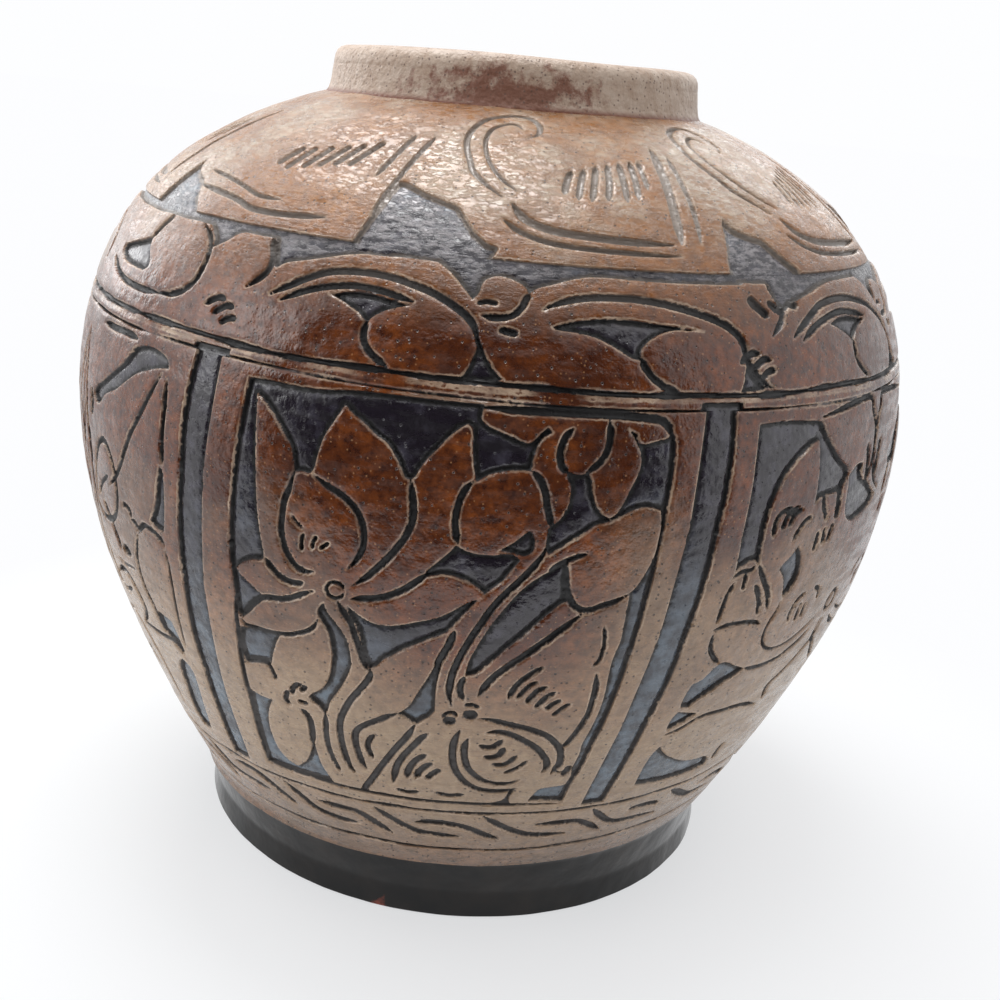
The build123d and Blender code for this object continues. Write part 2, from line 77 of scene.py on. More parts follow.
# Carved outlines. A ground outline is cut away; a third number marks a sharp corner. A stroke is its
# width in millimetres and the points of its middle. Panels: thousandths of half the window across and
# of its height. Bands and lappets: thousandths of their unit across and of their length up the wall.
# The fret: degrees across and millimetres up.
LOTUS_GROUND = ground_table(
    [(-945, 985, 1), (-850, 988), (-700, 988), (-580, 990), (-450, 998), (-300, 1002), (-100, 1003),
     (50, 1004), (130, 1004, 1), (135, 972), (200, 957), (260, 948), (310, 940), (335, 937), (360, 945),
     (385, 960), (410, 972, 1), (430, 958), (400, 950), (378, 930), (370, 905), (372, 888, 1), (360, 880),
     (335, 880), (270, 877), (200, 867), (150, 850), (140, 858, 1), (125, 880), (110, 910), (100, 940),
     (95, 955, 1), (70, 960), (20, 940), (-20, 915), (-60, 890), (-90, 865), (-105, 845, 1), (-125, 840),
     (-150, 840, 1), (-175, 860), (-210, 885), (-250, 905), (-310, 920), (-370, 940), (-420, 952),
     (-460, 966, 1), (-495, 930), (-525, 900), (-540, 865), (-548, 830, 1), (-570, 818), (-600, 820),
     (-640, 815, 1), (-655, 840), (-675, 865), (-720, 890), (-770, 915), (-830, 940), (-885, 957, 1),
     (-870, 930), (-855, 880), (-838, 830), (-825, 790), (-810, 740), (-795, 700), (-775, 660),
     (-755, 625, 1), (-760, 608), (-820, 600), (-870, 588), (-905, 572, 1), (-880, 558), (-840, 545),
     (-800, 533), (-755, 522, 1), (-790, 505), (-830, 488), (-860, 470), (-885, 452, 1), (-910, 460),
     (-925, 500), (-935, 550), (-950, 600), (-955, 700), (-955, 800), (-950, 900)],
    [(515, 885, 1), (570, 880), (610, 885, 1), (632, 868), (640, 850), (665, 820), (700, 800),
     (733, 790, 1), (760, 800), (785, 825), (805, 855), (825, 880), (832, 900), (825, 925), (800, 945),
     (775, 963), (755, 975, 1), (800, 965), (810, 950), (840, 945), (880, 950), (930, 955), (950, 962, 1),
     (975, 965), (990, 930), (995, 880), (995, 820), (1000, 750), (1005, 650), (1010, 500), (1015, 300),
     (1010, 200), (1005, 120), (990, 70), (985, 40), (985, -5, 1), (900, 0), (800, 5), (755, 5, 1),
     (765, 20), (785, 40), (795, 50, 1), (850, 55), (920, 58), (945, 60, 1), (955, 90), (945, 110),
     (940, 130), (945, 170), (935, 200), (945, 250), (950, 300), (945, 350), (930, 400), (920, 450),
     (930, 500), (920, 550), (910, 600), (905, 620, 1), (930, 635), (955, 665), (975, 700), (978, 740),
     (975, 775), (960, 805, 1), (910, 812), (860, 810), (810, 800), (770, 787), (720, 778), (680, 772),
     (640, 755), (600, 740), (560, 725), (530, 715), (505, 705, 1), (485, 720), (480, 745), (480, 765, 1),
     (520, 785), (540, 805), (547, 830), (540, 855), (520, 870)],
    [(110, 715, 1), (150, 705), (200, 700), (270, 700), (330, 705), (370, 700), (395, 690, 1), (385, 685),
     (355, 660), (330, 640), (290, 620), (265, 605, 1), (250, 615), (200, 630), (150, 640), (90, 645),
     (30, 640), (0, 633, 1), (0, 650), (40, 672), (80, 695)],
    [(290, 710), (340, 728), (385, 750), (405, 758), (430, 745), (440, 730), (435, 710), (400, 700),
     (360, 705), (330, 708)],
    [(-335, 545, 1), (-320, 520), (-280, 490), (-260, 465), (-245, 430), (-225, 405), (-205, 390, 1),
     (-170, 400), (-140, 420), (-100, 435), (-50, 455), (0, 470), (50, 485), (100, 500), (135, 510, 1),
     (160, 530), (190, 555), (225, 580), (250, 600, 1), (200, 588), (150, 568), (100, 550), (50, 538),
     (0, 530), (-80, 517), (-150, 510), (-220, 514), (-280, 527)],
    [(140, 450, 1), (130, 410), (125, 370), (128, 330), (135, 295, 1), (110, 275), (80, 262),
     (50, 247, 1), (20, 255), (0, 262), (-30, 268), (-60, 273, 1), (-20, 290), (10, 310), (30, 335),
     (55, 365), (80, 395), (100, 425), (115, 450, 1)],
    [(-445, 540, 1), (-420, 515), (-380, 495), (-345, 475), (-320, 455), (-305, 430), (-295, 395),
     (-305, 370), (-325, 345), (-350, 320), (-380, 295), (-410, 270), (-430, 240), (-455, 235, 1),
     (-480, 252), (-515, 262), (-535, 275, 1), (-500, 292), (-460, 305), (-425, 330), (-405, 365),
     (-397, 400), (-402, 430), (-420, 465), (-455, 490), (-475, 510), (-465, 530)],
    [(600, 695, 1), (560, 685), (520, 670), (480, 655), (440, 637), (400, 612), (360, 578), (325, 545),
     (295, 510), (270, 475), (250, 440), (245, 400, 1), (290, 407), (330, 425), (370, 450), (410, 477),
     (460, 505), (500, 530), (550, 562), (600, 590), (630, 600, 1), (610, 630), (600, 660)],
    [(-900, 425, 1), (-840, 427), (-760, 430), (-670, 428, 1), (-690, 410), (-710, 385), (-725, 360),
     (-730, 345, 1), (-760, 343), (-800, 340), (-850, 335), (-900, 327, 1), (-920, 360), (-915, 400)],
    [(-920, 245, 1), (-860, 235), (-800, 232), (-760, 232, 1), (-785, 215), (-810, 190), (-825, 160),
     (-830, 130), (-820, 100), (-800, 70), (-770, 50), (-730, 35), (-680, 28, 1), (-660, 35), (-620, 50),
     (-590, 70), (-565, 95), (-550, 120), (-530, 130, 1), (-525, 110), (-515, 80), (-500, 55), (-475, 35),
     (-450, 15), (-430, 0, 1), (-600, 0), (-800, 0), (-935, 0, 1), (-935, 100), (-930, 200)],
    [(660, 50, 1), (645, 30), (640, 15), (660, -5, 1), (600, -5), (500, -3, 1), (580, 8), (610, 20),
     (625, 45)],
)
LOTUS_STROKES = stroke_table(
    (2.9, [(120, 998), (300, 998), (500, 1000), (700, 1000), (870, 995), (930, 985), (965, 960)]),
    (2.5, [(-925, 500), (-925, 400), (-930, 300), (-925, 200), (-930, 100), (-935, 10)]),
    (2.2, [(-940, 3), (-600, 0), (-300, -2), (0, -4), (300, -5), (600, -6), (985, -10)]),
    (2.5, [(-640, 815), (-655, 780), (-672, 750), (-675, 720), (-675, 690), (-660, 660), (-635, 635),
     (-600, 615), (-550, 605), (-500, 607)]),
    (2.5, [(-750, 615), (-720, 598), (-680, 582), (-630, 573), (-580, 572), (-550, 577)]),
    (2.4, [(-545, 818), (-490, 803), (-430, 792), (-370, 776), (-330, 757), (-300, 732), (-285, 700),
     (-290, 675), (-310, 652), (-345, 628)]),
    (2.7, [(-125, 842), (-110, 815), (-95, 785), (-90, 755), (-105, 725), (-130, 700), (-165, 672),
     (-210, 643), (-260, 615), (-310, 594)]),
    (2.5, [(135, 852), (105, 830), (90, 800), (88, 770), (100, 740), (115, 718)]),
    (2.5, [(370, 882), (410, 865), (440, 840), (460, 810), (480, 785), (490, 770)]),
    (2.7, [(10, 645), (-30, 625), (-80, 603), (-140, 584), (-200, 572), (-260, 566), (-315, 560)]),
    (2.9, [(165, 515), (150, 480), (125, 445), (110, 420)]),
    (2.9, [(-50, 275), (-100, 262), (-150, 245), (-200, 230), (-250, 210), (-275, 190), (-275, 160),
     (-260, 130), (-240, 100), (-215, 80)]),
    (2.9, [(40, 245), (20, 220), (0, 200), (-40, 170), (-70, 145), (-100, 120), (-140, 85), (-180, 50),
     (-230, 10), (-245, 0)]),
    (2.4, [(-165, 200), (-195, 180), (-205, 160), (-195, 140), (-175, 120)]),
    (2.9, [(-205, 390), (-200, 375), (-220, 350), (-260, 320), (-300, 290), (-330, 260), (-355, 230),
     (-365, 200), (-360, 160), (-345, 120), (-320, 80), (-285, 60)]),
    (2.5, [(-445, 240), (-445, 200), (-450, 170), (-445, 130), (-430, 100), (-405, 70), (-380, 50)]),
    (2.5, [(-385, 550), (-340, 520), (-310, 500), (-285, 470), (-260, 440), (-240, 410), (-215, 385)]),
    (2.5, [(-500, 562), (-550, 549), (-600, 535), (-660, 524), (-720, 521), (-770, 513), (-810, 495),
     (-850, 473), (-885, 450)]),
    (2.1, [(-470, 495), (-490, 475), (-520, 460), (-560, 450), (-610, 440), (-660, 435), (-720, 432),
     (-800, 433), (-860, 432), (-900, 445)]),
    (2.1, [(-900, 325), (-850, 335), (-800, 340), (-760, 340), (-740, 330), (-725, 310), (-720, 300)]),
    (2.9, [(-590, 230), (-560, 220), (-540, 200), (-535, 170), (-540, 150), (-545, 120)]),
    (2.4, [(-585, 252), (-567, 254), (-549, 252)]),
    (2.5, [(-655, 275), (-670, 260), (-675, 245), (-650, 235)]),
    (2.5, [(-570, 307), (-600, 300), (-625, 285), (-630, 270)]),
    (2.5, [(-550, 300), (-565, 290)]),
    (1.7, [(-565, 690), (-570, 670), (-565, 650)]),
    (1.7, [(-500, 690), (-515, 675), (-515, 660)]),
    (1.7, [(-440, 680), (-465, 670), (-475, 665)]),
    (1.3, [(-630, 725), (-600, 710), (-570, 700)]),
    (1.7, [(-350, 574), (-363, 587), (-393, 593), (-423, 587), (-436, 574), (-423, 561), (-393, 555),
     (-363, 561), (-350, 574)]),
    (2.5, [(515, 970), (485, 950), (475, 920), (490, 895), (520, 883)]),
    (2.5, [(600, 885), (650, 905), (675, 930), (680, 960), (670, 990)]),
    (2.1, [(670, 710), (620, 702), (570, 690), (520, 672)]),
    (2.5, [(600, 680), (605, 650), (620, 625), (650, 600), (690, 583), (740, 580), (800, 592), (850, 600),
     (900, 615)]),
    (2.9, [(710, 570), (660, 545), (610, 520), (560, 495), (510, 470), (460, 445), (410, 420), (370, 395),
     (345, 370), (330, 348)]),
    (2.7, [(485, 720), (475, 700), (440, 670), (400, 642), (350, 610), (310, 578), (280, 545), (250, 510),
     (225, 475), (205, 445), (190, 410), (185, 375), (190, 345), (210, 315)]),
    (2.5, [(245, 400), (235, 375), (240, 355), (260, 335)]),
    (2.5, [(600, 435), (560, 420), (520, 400), (490, 375), (475, 345)]),
    (2.1, [(595, 395), (560, 385), (535, 365), (515, 345)]),
    (2.5, [(645, 380), (605, 370), (580, 350), (570, 335)]),
    (2.5, [(695, 365), (655, 350), (630, 330), (625, 320)]),
    (2.5, [(730, 340), (700, 330), (675, 315)]),
    (2.1, [(785, 330), (750, 315), (720, 295)]),
    (1.7, [(830, 540), (850, 510), (860, 480), (855, 450), (835, 435)]),
    (2.5, [(865, 415), (885, 380), (895, 340), (900, 300), (890, 270), (870, 230), (850, 205),
     (835, 195)]),
    (2.9, [(360, 283), (420, 280), (500, 270), (580, 260), (660, 247), (730, 230), (780, 210), (820, 190),
     (845, 165), (855, 140), (845, 120), (830, 105)]),
    (2.9, [(410, 240), (460, 245), (520, 240), (580, 227), (640, 210), (700, 190), (750, 165), (780, 145),
     (790, 125), (775, 110)]),
    (2.9, [(275, 243), (260, 220), (255, 190), (260, 160), (275, 130), (300, 105), (340, 80), (390, 62),
     (450, 50), (520, 45), (600, 47), (660, 53)]),
    (2.7, [(325, 220), (315, 200), (320, 170), (335, 145), (360, 120), (400, 100), (450, 83), (520, 73),
     (600, 73), (660, 85)]),
    (2.9, [(390, 200), (430, 195), (470, 200), (500, 220)]),
    (2.9, [(430, 165), (470, 163), (510, 175), (520, 195)]),
    (2.5, [(480, 140), (530, 137), (570, 148), (600, 170)]),
    (2.1, [(560, 110), (600, 120), (640, 135), (670, 152)]),
    (2.9, [(120, 155), (80, 140), (50, 120), (30, 95), (25, 70)]),
    (2.9, [(155, 130), (120, 115), (90, 95), (80, 75)]),
    (2.9, [(200, 110), (170, 95), (140, 75)]),
    (2.9, [(115, 225), (80, 205), (40, 175), (0, 145), (-30, 115), (-45, 85), (-55, 45)]),
    (2.5, [(-30, 25), (30, 20), (100, 25)]),
    (2.5, [(200, 28), (280, 22), (370, 27)]),
    (2.9, [(920, 125), (915, 110), (910, 95)]),
    (1.3, [(850, 110), (880, 107), (910, 112)]),
    (4.4, [(210, 270), (214, 270)]),
    (4.9, [(308, 292), (312, 292)]),
    (1.9, [(175, 280), (195, 293), (225, 296), (245, 285)]),
    (2.1, [(275, 320), (310, 322), (340, 315)]),
)
PEONY_GROUND = ground_table(
    [(-985, 980, 1), (-850, 983), (-700, 980), (-560, 972, 1), (-500, 935), (-440, 905), (-370, 875),
     (-290, 852, 1), (-270, 835, 1), (-320, 800), (-400, 795), (-500, 793, 1), (-535, 780), (-545, 830),
     (-560, 880), (-580, 930, 1), (-650, 915), (-730, 888), (-790, 855), (-830, 810), (-845, 760),
     (-840, 710), (-825, 655, 1), (-870, 668), (-920, 660), (-965, 645, 1), (-985, 750), (-990, 850),
     (-990, 930)],
    [(-580, 685, 1), (-550, 670), (-520, 645), (-505, 620), (-505, 600), (-520, 575), (-550, 555),
     (-585, 555, 1), (-600, 580), (-630, 610), (-680, 635, 1), (-650, 650), (-610, 665)],
    [(-830, 400, 1), (-780, 395), (-720, 380), (-620, 360, 1), (-660, 348), (-740, 330), (-800, 310),
     (-860, 290), (-900, 270, 1), (-960, 280), (-975, 310), (-965, 350, 1), (-910, 360), (-870, 385)],
    [(-960, 265, 1), (-880, 255), (-800, 245, 1), (-860, 225), (-930, 210), (-975, 205, 1), (-980, 240)],
    [(-945, 155, 1), (-900, 130), (-830, 105), (-750, 85), (-650, 65), (-550, 55), (-450, 50), (-380, 30),
     (-360, 5, 1), (-600, 0), (-800, 5), (-960, 15, 1), (-975, 60), (-975, 120)],
)
PEONY_MIDDLE_GROUND = ground_table(
    [(-270, 830, 1), (-200, 850), (-130, 850, 1), (-120, 820), (-70, 800), (-20, 795), (50, 770),
     (140, 745, 1), (80, 720), (0, 710), (-100, 700), (-190, 715), (-240, 745), (-255, 790)],
)
PEONY_STROKES = stroke_table(
    (2.5, [(-560, 980), (-400, 990), (-250, 998), (-80, 1000), (-50, 970), (-10, 930), (0, 880),
     (20, 830), (70, 790), (150, 760)]),
    (3.2, [(-90, 890), (-70, 850), (-65, 800)]),
    (2.5, [(-700, 785), (-765, 775), (-790, 755), (-785, 720)]),
    (2.5, [(-650, 785), (-720, 765), (-735, 735)]),
    (2.5, [(-620, 775), (-670, 765), (-695, 740)]),
    (2.5, [(-640, 700), (-590, 740), (-540, 750)]),
    (2.5, [(-470, 800), (-450, 770), (-420, 750), (-400, 730)]),
    (3.8, [(-340, 810), (-320, 770), (-310, 730)]),
    (2.5, [(-440, 700), (-440, 665)]),
    (2.5, [(-390, 705), (-380, 675)]),
    (2.5, [(-330, 710), (-340, 680)]),
    (2.5, [(-825, 655), (-780, 625), (-730, 595), (-690, 565), (-660, 530)]),
    (2.5, [(-810, 605), (-770, 580), (-740, 555), (-720, 520)]),
    (2.1, [(-980, 500), (-900, 508), (-800, 507), (-720, 500), (-670, 490)]),
    (2.1, [(-950, 620), (-970, 580), (-975, 520)]),
    (2.1, [(-970, 630), (-920, 645), (-870, 645), (-850, 655)]),
    (2.1, [(-890, 635), (-885, 605)]),
    (2.1, [(-970, 490), (-950, 450), (-900, 420), (-850, 400)]),
    (2.5, [(-620, 360), (-550, 352), (-450, 350), (-350, 355), (-270, 370), (-200, 385), (-130, 410)]),
    (1.7, [(-575, 550), (-575, 520), (-600, 490), (-605, 460), (-580, 430), (-520, 405), (-440, 395),
     (-350, 398), (-270, 410), (-200, 425), (-150, 440)]),
    (2.1, [(-300, 550), (-240, 535), (-220, 510)]),
    (2.1, [(-380, 545), (-430, 530), (-450, 500), (-430, 470)]),
    (2.1, [(-380, 510), (-370, 470)]),
    (2.1, [(-330, 505), (-325, 475)]),
    (2.1, [(45, 475), (30, 495), (0, 502), (-30, 495), (-45, 475), (-30, 455), (0, 448), (30, 455),
     (45, 475)]),
    (2.5, [(-970, 190), (-880, 200), (-800, 220), (-720, 230), (-600, 228), (-480, 225), (-380, 215),
     (-280, 200)]),
    (2.5, [(-320, 75), (-330, 50), (-310, 20)]),
    (2.5, [(20, 420), (10, 370), (-50, 345), (-120, 310), (-200, 280), (-260, 260), (-240, 230),
     (-220, 210)]),
)
LEAF_GROUND = ground_table(
    [(660, 975, 1), (750, 985), (850, 985), (930, 975), (970, 955, 1), (880, 947), (800, 935), (720, 920),
     (620, 890), (540, 865), (460, 850), (400, 835), (340, 810), (280, 810), (240, 830), (300, 855, 1),
     (330, 860), (400, 880), (470, 900), (550, 925), (610, 950)],
    [(975, 745, 1), (1010, 730), (1020, 660), (1010, 600), (1000, 588, 1), (950, 590), (890, 600, 1),
     (920, 630), (945, 660), (955, 700)],
    [(800, 355, 1), (860, 350), (930, 345, 1), (960, 310), (980, 270), (960, 262, 1), (900, 280),
     (840, 290), (800, 295, 1), (790, 320)],
    [(920, 235, 1), (970, 225), (1000, 200), (985, 150), (960, 100), (940, 50), (915, 10, 1), (860, 5),
     (800, 10, 1), (775, 40), (785, 90), (810, 140), (830, 190), (870, 220)],
    [(520, 480, 1), (560, 495), (620, 490), (640, 475, 1), (600, 465), (550, 465)],
)
LEAF_STROKES = stroke_table(
    (2.5, [(250, 990), (400, 990), (550, 993), (660, 990)]),
    (2.5, [(920, 940), (870, 900), (820, 860), (770, 820), (720, 785), (670, 745), (630, 710), (580, 675),
     (520, 650), (460, 630)]),
    (2.5, [(970, 930), (985, 870), (990, 800), (1000, 750)]),
    (2.5, [(610, 600), (640, 605), (690, 600), (710, 585)]),
    (2.5, [(700, 575), (740, 575), (780, 565), (830, 582), (900, 580), (970, 570), (1000, 555)]),
    (2.5, [(760, 550), (730, 520), (710, 490), (700, 460), (710, 430), (730, 400), (760, 370), (780, 340),
     (790, 300)]),
    (2.5, [(500, 265), (580, 270), (680, 273), (780, 275), (860, 280), (920, 270), (970, 255)]),
    (1.7, [(1000, 550), (1020, 500), (1020, 420), (1015, 350), (1010, 280)]),
    (3.2, [(330, 570), (380, 550), (440, 520), (480, 495), (490, 470)]),
    (1.7, [(420, 435), (500, 430), (580, 435), (640, 440)]),
    (2.9, [(300, 380), (360, 395), (420, 405), (480, 405), (540, 390), (590, 365), (620, 335), (600, 310),
     (560, 290), (500, 270)]),
    (2.5, [(200, 360), (260, 350), (300, 350)]),
    (2.5, [(130, 740), (160, 720), (170, 690), (170, 660), (130, 640)]),
    (3.8, [(200, 830), (220, 800), (210, 775)]),
)
WAVE_GROUND = ground_table(
    [(280, 490, 1), (340, 540), (420, 575), (500, 590), (580, 585), (660, 565), (740, 550), (800, 530),
     (840, 510, 1), (780, 515), (720, 510), (670, 480), (635, 430), (610, 380), (600, 330), (605, 290, 1),
     (590, 270), (560, 290), (520, 340), (470, 395), (420, 435), (360, 455), (300, 465)],
    [(1020, 270, 1), (1050, 180), (1090, 100), (1130, 50, 1), (1060, 35), (990, 30, 1), (1005, 120),
     (1010, 200)],
    [(-160, 1060, 1), (-160, 930, 1), (-100, 850), (-50, 750), (0, 640, 1), (20, 700), (30, 800),
     (70, 850), (120, 840), (165, 800), (180, 770), (190, 720, 1), (220, 780), (270, 820), (320, 860),
     (380, 900), (450, 915), (550, 910), (700, 900), (900, 900), (1050, 900, 1), (1050, 1060, 1)],
    [(30, 420, 1), (60, 300), (80, 220), (110, 130), (150, 50, 1), (80, 20), (-10, 20, 1), (20, 100),
     (30, 180), (40, 280)],
)
WAVE_STROKES = stroke_table(
    (2.5, [(600, 290), (620, 210), (655, 130), (700, 70), (750, 30)]),
    (2.7, [(250, 620), (280, 660), (340, 710), (420, 745), (520, 755), (600, 750), (700, 720), (800, 670),
     (900, 600), (960, 530), (1000, 440), (1015, 340), (1030, 250), (1060, 170), (1100, 100),
     (1140, 55)]),
    (1.9, [(20, 620), (50, 640), (90, 630)]),
    (2.5, [(40, 530), (80, 520), (120, 530), (155, 570), (175, 630), (185, 700), (195, 720)]),
    (2.5, [(110, 430), (140, 420), (165, 410)]),
    (3.2, [(1060, 790), (1090, 720), (1140, 630)]),
    (2.7, [(1150, 760), (1190, 690), (1230, 660)]),
    (2.7, [(1220, 790), (1270, 730), (1310, 710)]),
)
CURL_GROUND = ground_table(
    [(-510, 535, 1), (-440, 585), (-360, 595), (-280, 570), (-200, 540, 1), (-260, 500), (-300, 455),
     (-330, 400), (-335, 370, 1), (-355, 370, 1), (-380, 420), (-430, 475), (-470, 510)],
    [(-900, 1060, 1), (-900, 930, 1), (-830, 930), (-790, 760), (-760, 660, 1), (-720, 730), (-640, 780),
     (-560, 830), (-480, 880), (-400, 910), (-280, 920), (-140, 920, 1), (-140, 1060, 1)],
)
CURL_STROKES = stroke_table(
    (2.7, [(-740, 450), (-710, 500), (-660, 570), (-600, 650), (-540, 710), (-460, 745), (-380, 755),
     (-300, 745), (-220, 710), (-140, 660), (-60, 580), (0, 490), (30, 400), (40, 300)]),
    (2.5, [(-690, 420), (-640, 490), (-570, 560), (-490, 610), (-420, 635), (-340, 630), (-260, 600),
     (-200, 570)]),
    (2.5, [(-345, 370), (-345, 280), (-330, 190), (-290, 110), (-240, 50)]),
    (2.5, [(-830, 920), (-815, 840), (-790, 740), (-785, 660), (-800, 580), (-850, 470)]),
    (2.5, [(-1010, 260), (-980, 310), (-950, 340), (-920, 330)]),
    (2.5, [(-960, 200), (-930, 250), (-900, 290), (-870, 280)]),
    (2.5, [(-910, 140), (-880, 190), (-850, 200)]),
)
OUTER_LEFT_GROUND = ground_table(
    [(-1300, 1060, 1), (-1280, 930, 1), (-1200, 930), (-1130, 820), (-1100, 720, 1), (-1050, 800),
     (-1000, 900), (-920, 930, 1), (-900, 1060, 1)],
    [(-1770, 510, 1), (-1740, 416), (-1650, 370), (-1467, 358, 1), (-1436, 427), (-1497, 570),
     (-1528, 680, 1), (-1590, 630), (-1680, 570)],
    [(-1840, 1060, 1), (-1840, 970, 1), (-1300, 970, 1), (-1300, 1060, 1)],
)
OUTER_LEFT_STROKES = stroke_table(
    (2.5, [(-1528, 670), (-1506, 790), (-1467, 920)]),
    (2.5, [(-1300, 230), (-1436, 213), (-1590, 226), (-1710, 278), (-1830, 370)]),
    (2.5, [(-1220, 900), (-1160, 830), (-1120, 740), (-1100, 630), (-1100, 500), (-1110, 420),
     (-1150, 320), (-1210, 260), (-1300, 230)]),
)
LAPPET_GROUND = ground_table(
    [(-330, -50, 1), (-330, 0), (-310, 150), (-290, 300), (-280, 340, 1), (-250, 335), (-180, 290),
     (-85, 245, 1), (-60, 200), (-30, 140), (10, 90), (40, 70), (20, 0), (0, -50, 1)],
)
LAPPET_STROKES = stroke_table(
    (3.2, [(60, 280), (100, 210), (170, 170), (250, 155), (350, 145), (500, 140)]),
    (2.2, [(40, 200), (90, 150), (160, 115), (250, 100), (360, 95), (520, 90)]),
    (3.6, [(530, 150), (540, 300), (570, 500), (600, 700)]),
    (2.4, [(30, 310), (-20, 370), (-70, 440), (-90, 500), (-120, 600), (-130, 700), (-100, 820),
     (-40, 880), (50, 910), (120, 890), (150, 830), (140, 750), (100, 710)]),
    (1.8, [(80, 340), (30, 400), (-10, 470), (-40, 550), (-60, 650), (-50, 750), (0, 810), (50, 820),
     (80, 780)]),
    (2.6, [(240, 500), (220, 430), (210, 360)]),
    (2.6, [(285, 520), (265, 430), (250, 335)]),
    (2.6, [(330, 545), (310, 440), (290, 330)]),
    (2.6, [(375, 565), (360, 450), (340, 340)]),
    (2.6, [(420, 580), (410, 460), (400, 340)]),
    (2.6, [(465, 590), (455, 480), (440, 360)]),
    (2.2, [(500, 600), (495, 520), (485, 420)]),
    (2.2, [(-310, 150), (-290, 330), (-270, 500), (-250, 650)]),
)
FRET_FALLS: Strokes = [
    (3.5, [(-4.5, 69), (-2, 64), (1, 59), (3, 56.5), (6, 55.5), (10, 55)]),
    (3.5, [(13, 70), (16, 64), (19, 59), (22, 56), (28, 54.5)]),
    (3.5, [(-21, 70), (-18, 63), (-15.5, 58), (-12, 55.5), (-7.5, 55)]),
    (3.5, [(-41, 70), (-38, 64), (-35.5, 59.5), (-30, 58.5), (-26, 57.5)]),
    (3.5, [(31, 70), (33.5, 63), (36, 58), (39, 56), (46, 54)]),
    (3.6, [(2.5, 63), (5, 64.5), (8, 64), (11, 61.5), (14, 57), (16.5, 53.5)]),
    (3.6, [(-14.5, 64), (-10, 64), (-7.5, 63), (-5, 59), (-1.5, 52.5)]),
    (3.6, [(22, 63.5), (28, 63.5), (31, 60), (34.5, 53)]),
    (3.6, [(-33, 67.5), (-29, 68), (-26, 66), (-23, 60.5), (-20, 55.5)]),
    (3.6, [(38.5, 64), (42, 64), (45, 62)]),
]
FRET_REPEAT: Strokes = [
    (3.5, [(-5, 69.5), (-2, 64), (1, 59), (4, 56), (9, 54.8)]),
    (3.6, [(3, 63.5), (8, 63.8), (11, 61), (14, 56.5), (16, 53)]),
]
LEFT_LAPPET_STROKES = stroke_table(
    (2.2, [(-360, 350), (-340, 500), (-325, 650)]),
    (2.6, [(-730, 350), (-700, 450)]),
    (2.6, [(-680, 330), (-650, 460)]),
    (2.6, [(-620, 350), (-590, 480)]),
    (2.6, [(-570, 370), (-530, 500)]),
    (2.6, [(-520, 390), (-480, 520)]),
    (2.6, [(-470, 400), (-420, 550)]),
    (2.6, [(-1000, 160), (-850, 140), (-750, 120), (-680, 95), (-580, 90), (-500, 100), (-430, 110)]),
    (2.0, [(-1000, 240), (-880, 220), (-770, 190), (-690, 160), (-600, 155)]),
)
LEAF_VEIN_STROKES = stroke_table(
    (2.6, [(0, 50), (10, 300), (-10, 550), (0, 740), (5, 900)]),
)
LEAF_MIDDLE_STROKES = stroke_table(
    (2.7, [(0, 955), (70, 860), (135, 720), (155, 560), (130, 400), (70, 240), (30, 160)]),
    (2.2, [(15, 300), (50, 350), (95, 440)]),
    (2.2, [(10, 420), (60, 480), (110, 570)]),
    (2.2, [(10, 550), (50, 610), (100, 690)]),
    (2.2, [(10, 670), (40, 730), (70, 790)]),
    (2.7, [(30, 140), (120, 220), (240, 270), (380, 265), (500, 210), (580, 120), (600, 40)]),
    (2.4, [(80, 60), (200, 130), (320, 160), (440, 130)]),
    (2.7, [(200, 560), (270, 670), (380, 730), (500, 710), (560, 630), (500, 560), (380, 530), (270, 530),
     (200, 560)]),
    (2.2, [(260, 580), (340, 620), (450, 650)]),
    (2.5, [(200, 460), (260, 380), (360, 340), (480, 360)]),
)
RIGHT_GAP_GROUND = ground_table(
    [(670, -50), (680, 200), (700, 280, 1), (740, 220), (820, 180, 1), (870, 100), (920, 30), (930, -50)],
)
POST_GAP_GROUND = ground_table(
    [(1120, -30, 1), (1320, -30, 1), (1320, 1028, 1), (1120, 1028, 1)],
    [(-1310, -30, 1), (-1120, -30, 1), (-1120, 1028, 1), (-1310, 1028, 1)],
)
LOTUS_PRICKS = ((0.224, 0.272), (0.296, 0.298), (-0.58, 0.253))
PRICK_SIZE = (0.023, 0.0088)
PRICK_TURNS = np.linspace(0, 5.5, 8)


